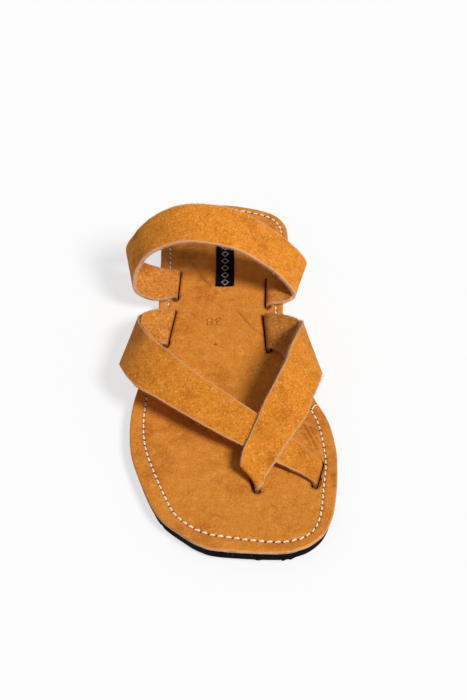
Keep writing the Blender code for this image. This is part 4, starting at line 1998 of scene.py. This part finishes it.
        # The slots' inner walls take the last material, flat painted shade.
        first = len(outer)
        for slot in self.slots:
            span = np.arange(first, first + len(slot))
            draft.bridge(top[span], bottom[span], Skin.SLOT)
            first += len(slot)
        footbed = draft.build("footbed_nubuck", materials, 50.0)
        self.mark(footbed)
        dress(footbed, "footbed_leather", "footbed")
        return footbed

    def mark(self, footbed: bpy.types.Object) -> None:
        """Store where the rim is worn pale, the painted shade round slots and the seam's needle pits, and
        where digits and marks are dark.

        Args:
            footbed: the footbed's object.
        """
        places = np.array([vert.co for vert in footbed.data.vertices])
        flat = places[:, :2]
        edge = resample_ring(self.plan.edge, EDGE_SAMPLES)
        rim = np.clip(1 - distance_to(flat, edge) / self.rim_width, 0, 1)
        pale = self.rim_paleness * rim**2
        dark = self.digit_tone * np.clip(self.digits.relief(flat) / self.digits.depth, 0, 1)
        # Painted shade round the slots and in the seam's needle pits.
        for slot in self.slots:
            dark = np.maximum(dark, self.slot_shade * nearness(flat, slot, self.shade_reach))
        pits = nearness(flat, self.seam.holes(), self.shade_reach)
        dark = np.maximum(dark, self.pit_shade * pits)
        for mark in MARKS + SLOT_NICKS:
            near = nearness(flat, mark_line(self.plan, mark, 0.0003), mark.width)
            near *= 0.75 + 0.5 * waves(flat, 0.002, 8.0)
            dark = np.maximum(dark, mark.tone * near)
            pale = np.maximum(pale, -mark.tone * near)
        add_values(footbed, "rim", np.clip(pale, 0, 1))
        add_values(footbed, "painted_shade_and_marks", np.clip(dark, 0, 1))


@dataclass
class Outsole:
    """Rubber sheet under the footbed, with grooves under heel and ball and a few moulding nibs at the toe.

    Each field of grooves is the share along the foot of its start, its middle lug and its end. Nib height
    is a share of the rubber's thickness, and nib spread a share of how far a nib hangs down.
    """

    plan: SolePlan
    inset: float = 0.0005
    draft: float = 0.0008
    edge_spacing: float = 0.0012
    groove_depth: float = 0.0012
    groove_width: float = 0.0022
    groove_pitch: float = 0.0080
    fields: tuple[tuple[float, float, float], ...] = ((0.05, HEEL_CENTRE, 0.27), (0.60, 0.70, 0.93))
    nibs: tuple[float, ...] = (0.0095, 0.0212, 0.0249)
    nibs_from: float = 0.9
    nib_drop: float = 0.0007
    nib_width: float = 0.0007
    nib_height: float = 0.3
    nib_spread: float = 0.4
    fill_spacing: float = 0.005
    fill_margin: float = 0.002
    sharp: float = 32.0

    def groove_places(self) -> list[float]:
        """Place the grooves out to both sides from each field's middle lug.

        Returns:
            Where each lies along the foot.
        """
        places = []
        for start, middle, end in self.fields:
            for side, reach in ((1, middle - start), (-1, end - middle)):
                count = int(self.plan.length * reach / self.groove_pitch + 0.5)
                lug = self.plan.y_at(middle)
                places += [lug + side * (index + 0.5) * self.groove_pitch for index in range(count)]
        return places

    def cut_grooves(self, sole: bpy.types.Object) -> None:
        """Take the grooves out of the sole's underside.

        Args:
            sole: the plain sole.
        """
        shape = bmesh.new()
        for y in self.groove_places():
            bar = bmesh.ops.create_cube(shape, size=1)["verts"]
            size = (2 * self.plan.ball_width, self.groove_width, 2 * self.groove_depth)
            bmesh.ops.scale(shape, verts=bar, vec=size)
            bmesh.ops.translate(shape, verts=bar, vec=(0, y, float(self.plan.rise(y))))
        mesh = bpy.data.meshes.new("grooves")
        shape.to_mesh(mesh)
        shape.free()
        cutter = add_object("grooves", mesh)
        cut = sole.modifiers.new("grooves", "BOOLEAN")
        cut.operation = "DIFFERENCE"
        cut.solver = "EXACT"
        cut.object = cutter
        bpy.context.view_layer.update()
        evaluated = sole.evaluated_get(bpy.context.evaluated_depsgraph_get())
        carved = bpy.data.meshes.new_from_object(evaluated)
        sole.modifiers.clear()
        sole.data = carved
        carved.shade_smooth()
        carved.set_sharp_from_angle(angle=math.radians(self.sharp))
        bpy.data.objects.remove(cutter, do_unlink=True)

    def build(self, material: bpy.types.Material) -> None:
        """Make the outsole.

        Args:
            material: the rubber.
        """
        edge = resample_ring(self.plan.edge, int(ring_length(self.plan.edge) / self.edge_spacing))
        rise = self.plan.rise(edge[:, 1])
        toe = edge[:, 1] < self.plan.y_at(self.nibs_from)
        nib = sum(np.exp(-(((edge[:, 0] - x) / self.nib_width) ** 2)) for x in self.nibs) * toe
        profile = (
            (0.0003, 1.0),
            (0.0, 0.95),
            (0.35 * self.draft, 0.5),
            (0.8 * self.draft, 0.10),
            (self.draft, 0.0),
        )
        draft = Draft()
        rings = []
        for shift, share in profile:
            near_ground = 1 - min(1.0, share / self.nib_height)
            out = self.nib_spread * self.nib_drop * nib * near_ground
            place = inset_ring(edge, self.inset + shift - out)
            height = rise + OUTSOLE_THICKNESS * share - self.nib_drop * nib * near_ground
            rings.append(raised(place, height))
        index = [draft.add_points(ring) for ring in rings]
        for one, other in zip(index, index[1:]):
            draft.bridge(one, other)
        for ring, ids, level in ((rings[0], index[0], OUTSOLE_THICKNESS), (rings[-1], index[-1], 0.0)):
            grid = staggered_grid(edge.min(axis=0), edge.max(axis=0), self.fill_spacing)
            grid = grid[inside_ring(grid, ring[:, :2])]
            grid = grid[distance_to(grid, ring) > self.fill_margin]
            flat, faces = fill_between(ring[:, :2], [], grid)
            inner = flat[len(ring):]
            more = draft.add_points(raised(inner, self.plan.rise(inner[:, 1]) + level))
            draft.add_faces(np.concatenate([ids, more])[faces])
        sole = draft.build("outsole_rubber", [material], self.sharp)
        self.cut_grooves(sole)
        dress(sole, "outsole_rubber", "outsole")


@dataclass
class Label:
    """Woven tape on the heel of the footbed, its ends heat-cut and one corner a little lifted.

    Corner size is the lifted corner's width and length, as shares of the tape's.
    """

    plan: SolePlan
    along: float = 0.207
    across: float = -0.01
    width: float = 0.0097
    length: float = 0.0350
    thickness: float = 0.0005
    seat: float = 0.0003
    columns: int = 22
    rows: int = 70
    corner_lift: float = 0.0005
    corner_size: tuple[float, float] = (0.25, 0.07)
    end_fray: float = 0.00025
    waviness: float = 0.00006
    turn: float = 1.6

    def build(self, material: bpy.types.Material) -> None:
        """Make the label.

        Args:
            material: the tape's material, which reads the UV map named tape.
        """
        middle = self.plan.place(self.along, self.across)
        u, v = np.meshgrid(np.linspace(0, 1, self.columns + 1), np.linspace(0, 1, self.rows + 1))
        share = np.stack([u.ravel(), v.ravel()], axis=1)
        c, s = math.cos(math.radians(self.turn)), math.sin(math.radians(self.turn))
        flat = (share - 0.5) * [self.width, -self.length]
        fray = waves(raised(share * 9, np.zeros(len(share))), 1.0, 4.0)
        ends = np.abs(share[:, 1] - 0.5) > 0.499
        flat[ends, 1] += fray[ends] * self.end_fray
        flat = middle + flat @ np.array([[c, -s], [s, c]])
        wide, long = self.corner_size
        away = ((1 - share[:, 0]) / wide) ** 2 + ((1 - share[:, 1]) / long) ** 2
        lift = np.exp(-away) * self.corner_lift
        base = FOOTBED_TOP + self.seat + self.plan.rise(flat[:, 1]) + lift
        base += self.waviness * waves(flat, 0.004, 1.0)
        draft = Draft()
        top = draft.add_points(raised(flat, base + self.thickness))
        low = draft.add_points(raised(flat, base))
        grid = np.arange(len(flat)).reshape(self.rows + 1, self.columns + 1)
        for layer in (top, low):
            for one, other in zip(grid, grid[1:]):
                draft.bridge(layer[one], layer[other], closed=False)
        rim = np.concatenate([grid[0], grid[1:, -1], grid[-1, -2::-1], grid[-2:0:-1, 0]])
        draft.bridge(top[rim], low[rim])
        label = draft.build("woven_label", [material])
        spots = label.data.uv_layers.new(name="tape")
        corners = np.empty(len(label.data.loops), int)
        label.data.loops.foreach_get("vertex_index", corners)
        spots.data.foreach_set("uv", np.vstack([share, share])[corners].astype(np.float32).ravel())
        dress(label, "woven_tape", "label")


@dataclass
class ThreadEnd:
    """The seam's loose end: a short thread from a needle hole out over the medial edge.

    Start and end are shares along and across the foot, overhang is a share of the way between them, and
    taper is how much thinner the thread ends than it starts, as a share.
    """

    surface: Footbed
    start: tuple[float, float] = (0.639, 0.890)
    end: tuple[float, float] = (0.627, 1.0)
    overhang: float = 0.12
    spacing: float = 0.0004
    radius: float = 0.00032
    taper: float = 0.35
    sides: int = 8
    sway: float = 0.0005
    sway_turn: float = 5.0
    lift: float = 0.00035
    arch: float = 0.0005

    def build(self, material: bpy.types.Material) -> None:
        """Make the thread end.

        Args:
            material: the thread's material.
        """
        start, end = self.surface.plan.place(*self.start), self.surface.plan.place(*self.end)
        line = line_points(start, end + (end - start) * self.overhang, self.spacing)
        line = self.surface.on_top(line)
        share = np.linspace(0, 1, len(line))
        line[:, 1] += self.sway * np.sin(share * self.sway_turn)
        line[:, 2] += self.lift + self.arch * np.sin(share * math.pi)
        angles = np.linspace(0, math.tau, self.sides + 1)[:-1]
        draft = Draft()
        rings = []
        for place, forward, part in zip(line, np.gradient(line, axis=0), share):
            forward = Vector(forward).normalized()
            side = forward.cross(Vector((0, 0, 1))).normalized()
            up = side.cross(forward)
            size = self.radius * (1 - self.taper * part)
            ring = [place + size * np.array(side * math.cos(a) + up * math.sin(a)) for a in angles]
            rings.append(draft.add_points(np.array(ring)))
        for one, other in zip(rings, rings[1:]):
            draft.bridge(one, other)
        for ring in (rings[0], rings[-1]):
            draft.add_faces([tuple(ring)])
        dress(draft.build("seam_thread_end", [material]), "woven_tape")


@dataclass
class Studio:
    """Camera, lights and floor."""

    camera_place: tuple[float, float, float] = (-0.01509, -0.70450, 0.58660)
    azimuth: float = -1.6
    elevation: float = 43.0
    lens: float = 86.25
    sensor: float = 36.0
    sun_strength: float = 3.28
    sun_spread: float = 17.0
    sun_from: tuple[float, float, float] = (0.64, -0.68, 0.96)
    sky: float = 0.25
    floor_white: float = 0.28
    floor_glow: float = 0.69
    floor_size: float = 12.0
    floor_drop: float = 0.0002

    def add_sun(self) -> None:
        """Hang the wide soft light that falls from ahead of the toe, on the big toe's side."""
        data = bpy.data.lights.new("window", "SUN")
        data.energy, data.angle = self.sun_strength, math.radians(self.sun_spread)
        add_object("window", data).rotation_euler = Vector(self.sun_from).to_track_quat("Z", "Y").to_euler()

    def build(self) -> None:
        """Set up the studio."""
        scene = bpy.context.scene
        turn, tilt = math.radians(self.azimuth), math.radians(self.elevation)
        back = Vector((math.sin(turn) * math.cos(tilt), -math.cos(turn) * math.cos(tilt), math.sin(tilt)))
        data = bpy.data.cameras.new("camera")
        data.lens, data.sensor_width = self.lens, self.sensor
        camera = add_object("camera", data)
        camera.location = self.camera_place
        camera.rotation_euler = (-back).to_track_quat("-Z", "Y").to_euler()
        scene.camera = camera
        self.add_sun()
        world = bpy.data.worlds.new("studio")
        world.use_nodes = True
        background = world.node_tree.nodes["Background"].inputs
        background["Color"].default_value = (1.0, 1.0, 1.0, 1.0)
        background["Strength"].default_value = self.sky
        scene.world = world
        scene.view_settings.view_transform = "Standard"
        bpy.ops.mesh.primitive_plane_add(size=self.floor_size, location=(0, 0, -self.floor_drop))
        floor = bpy.context.object
        floor.name = "floor"
        draft = MaterialDraft("white_floor")
        draft.hold(
            {
                "Base Color": (self.floor_white,) * 3 + (1.0,),
                "Emission Color": (1.0, 1.0, 1.0, 1.0),
                "Emission Strength": self.floor_glow,
                "Roughness": 0.9,
                "Specular IOR Level": 0.1,
            }
        )
        floor.data.materials.append(draft.material)


FOOTBED_LEATHER = Nubuck(
    name="footbed_nubuck",
    base=(0.705, 0.243, 0.027, 1.0),
    dark=(0.40, 0.098, 0.004, 1.0),
    light=(0.87, 0.39, 0.100, 1.0),
    rim=(0.70, 0.36, 0.16, 1.0),
    cloud_amount=0.50,
    nap_amount=0.60,
)
STRAP_LEATHER = Nubuck(
    name="strap_nubuck",
    base=(0.645, 0.214, 0.016, 1.0),
    dark=(0.36, 0.090, 0.003, 1.0),
    light=(0.84, 0.36, 0.080, 1.0),
    rim=(0.66, 0.36, 0.17, 1.0),
    cloud_scale=70.0,
    cloud_amount=0.55,
)
FLESH_SIDE = Nubuck(
    name="flesh_side",
    base=(0.60, 0.212, 0.030, 1.0),
    dark=(0.28, 0.074, 0.004, 1.0),
    light=(0.80, 0.37, 0.095, 1.0),
    rim=(0.66, 0.36, 0.17, 1.0),
    nap_scale=800.0,
    nap_amount=1.0,
    depth=0.0006,
)
CUT_EDGE = RawEdge("leather_cut_edge", pale=(0.66, 0.41, 0.26, 1.0), deep=(0.30, 0.12, 0.035, 1.0))
# Painted shade: a darker copy of the cut edge, for the under strap whose edges lie in shade.
SHADED_EDGE = RawEdge("leather_edge_painted_shade", pale=(0.38, 0.15, 0.045, 1.0), deep=(0.20, 0.06, 0.012, 1.0))
FIBRE_EDGE = RawEdge(
    "leather_fibre", pale=(0.85, 0.62, 0.42, 1.0), deep=(0.55, 0.28, 0.12, 1.0), fibre_scale=2000.0
)

STRAPS = (
    StrapShape(
        name="instep_strap_leather",
        folds=INSTEP_FOLDS,
        wrinkles=INSTEP_WRINKLES,
        rise=0.0415,
        width=0.0210,
        edge=CUT_EDGE,
        fray=0.0008,
    ),
    StrapShape(
        name="under_toe_strap_leather",
        folds=UNDER_STRAP_FOLDS,
        wrinkles=UNDER_STRAP_WRINKLES,
        rise=0.0250,
        width=0.0200,
        edge=SHADED_EDGE,
        fray=0.0006,
    ),
    StrapShape(
        name="over_toe_strap_leather",
        folds=OVER_STRAP_FOLDS,
        wrinkles=OVER_STRAP_WRINKLES,
        rise=0.0250,
        width=0.0200,
        edge=CUT_EDGE,
        fray=0.0010,
    ),
)
STRAP_NODES = ("instep_strap", "toe_straps", "toe_straps")


def main() -> None:
    """Build every piece around the frame and report it."""
    logging.basicConfig(level=logging.INFO, format="%(name)s: %(message)s")
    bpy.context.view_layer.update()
    groups = Groups()
    plan = SolePlan()
    seam = Seam(plan)
    cut_edge = CUT_EDGE.build(groups)
    flesh = FLESH_SIDE.build(groups)
    thread = Thread().build()

    Outsole(plan).build(Rubber().build(groups))
    slots = [slot for shape in STRAPS for slot in shape.slots(plan, SLOT_WEAR)]
    footbed = Footbed(plan, seam, SizeDigits(plan), slots)
    # Flat painted shade for needle holes and the inside of the slots.
    dark = Hole().build()
    footbed.build([FOOTBED_LEATHER.build(groups), cut_edge, flesh, dark])
    seam.build(footbed, thread, dark)
    ThreadEnd(footbed).build(thread)

    strap_face = STRAP_LEATHER.build(groups)
    edges = {CUT_EDGE: cut_edge, SHADED_EDGE: SHADED_EDGE.build(groups)}
    fibres = FIBRE_EDGE.build(groups)
    for number, (shape, node) in enumerate(zip(STRAPS, STRAP_NODES)):
        strap = Strap(shape, plan)
        dress(strap.build([strap_face, edges[shape.edge], flesh]), "strap_leather", node)
        Fray(strap, FRAY_SEED + number).build(fibres)
    Label(plan).build(WovenTape().build())
    Studio().build()


if __name__ == "__main__":
    main()
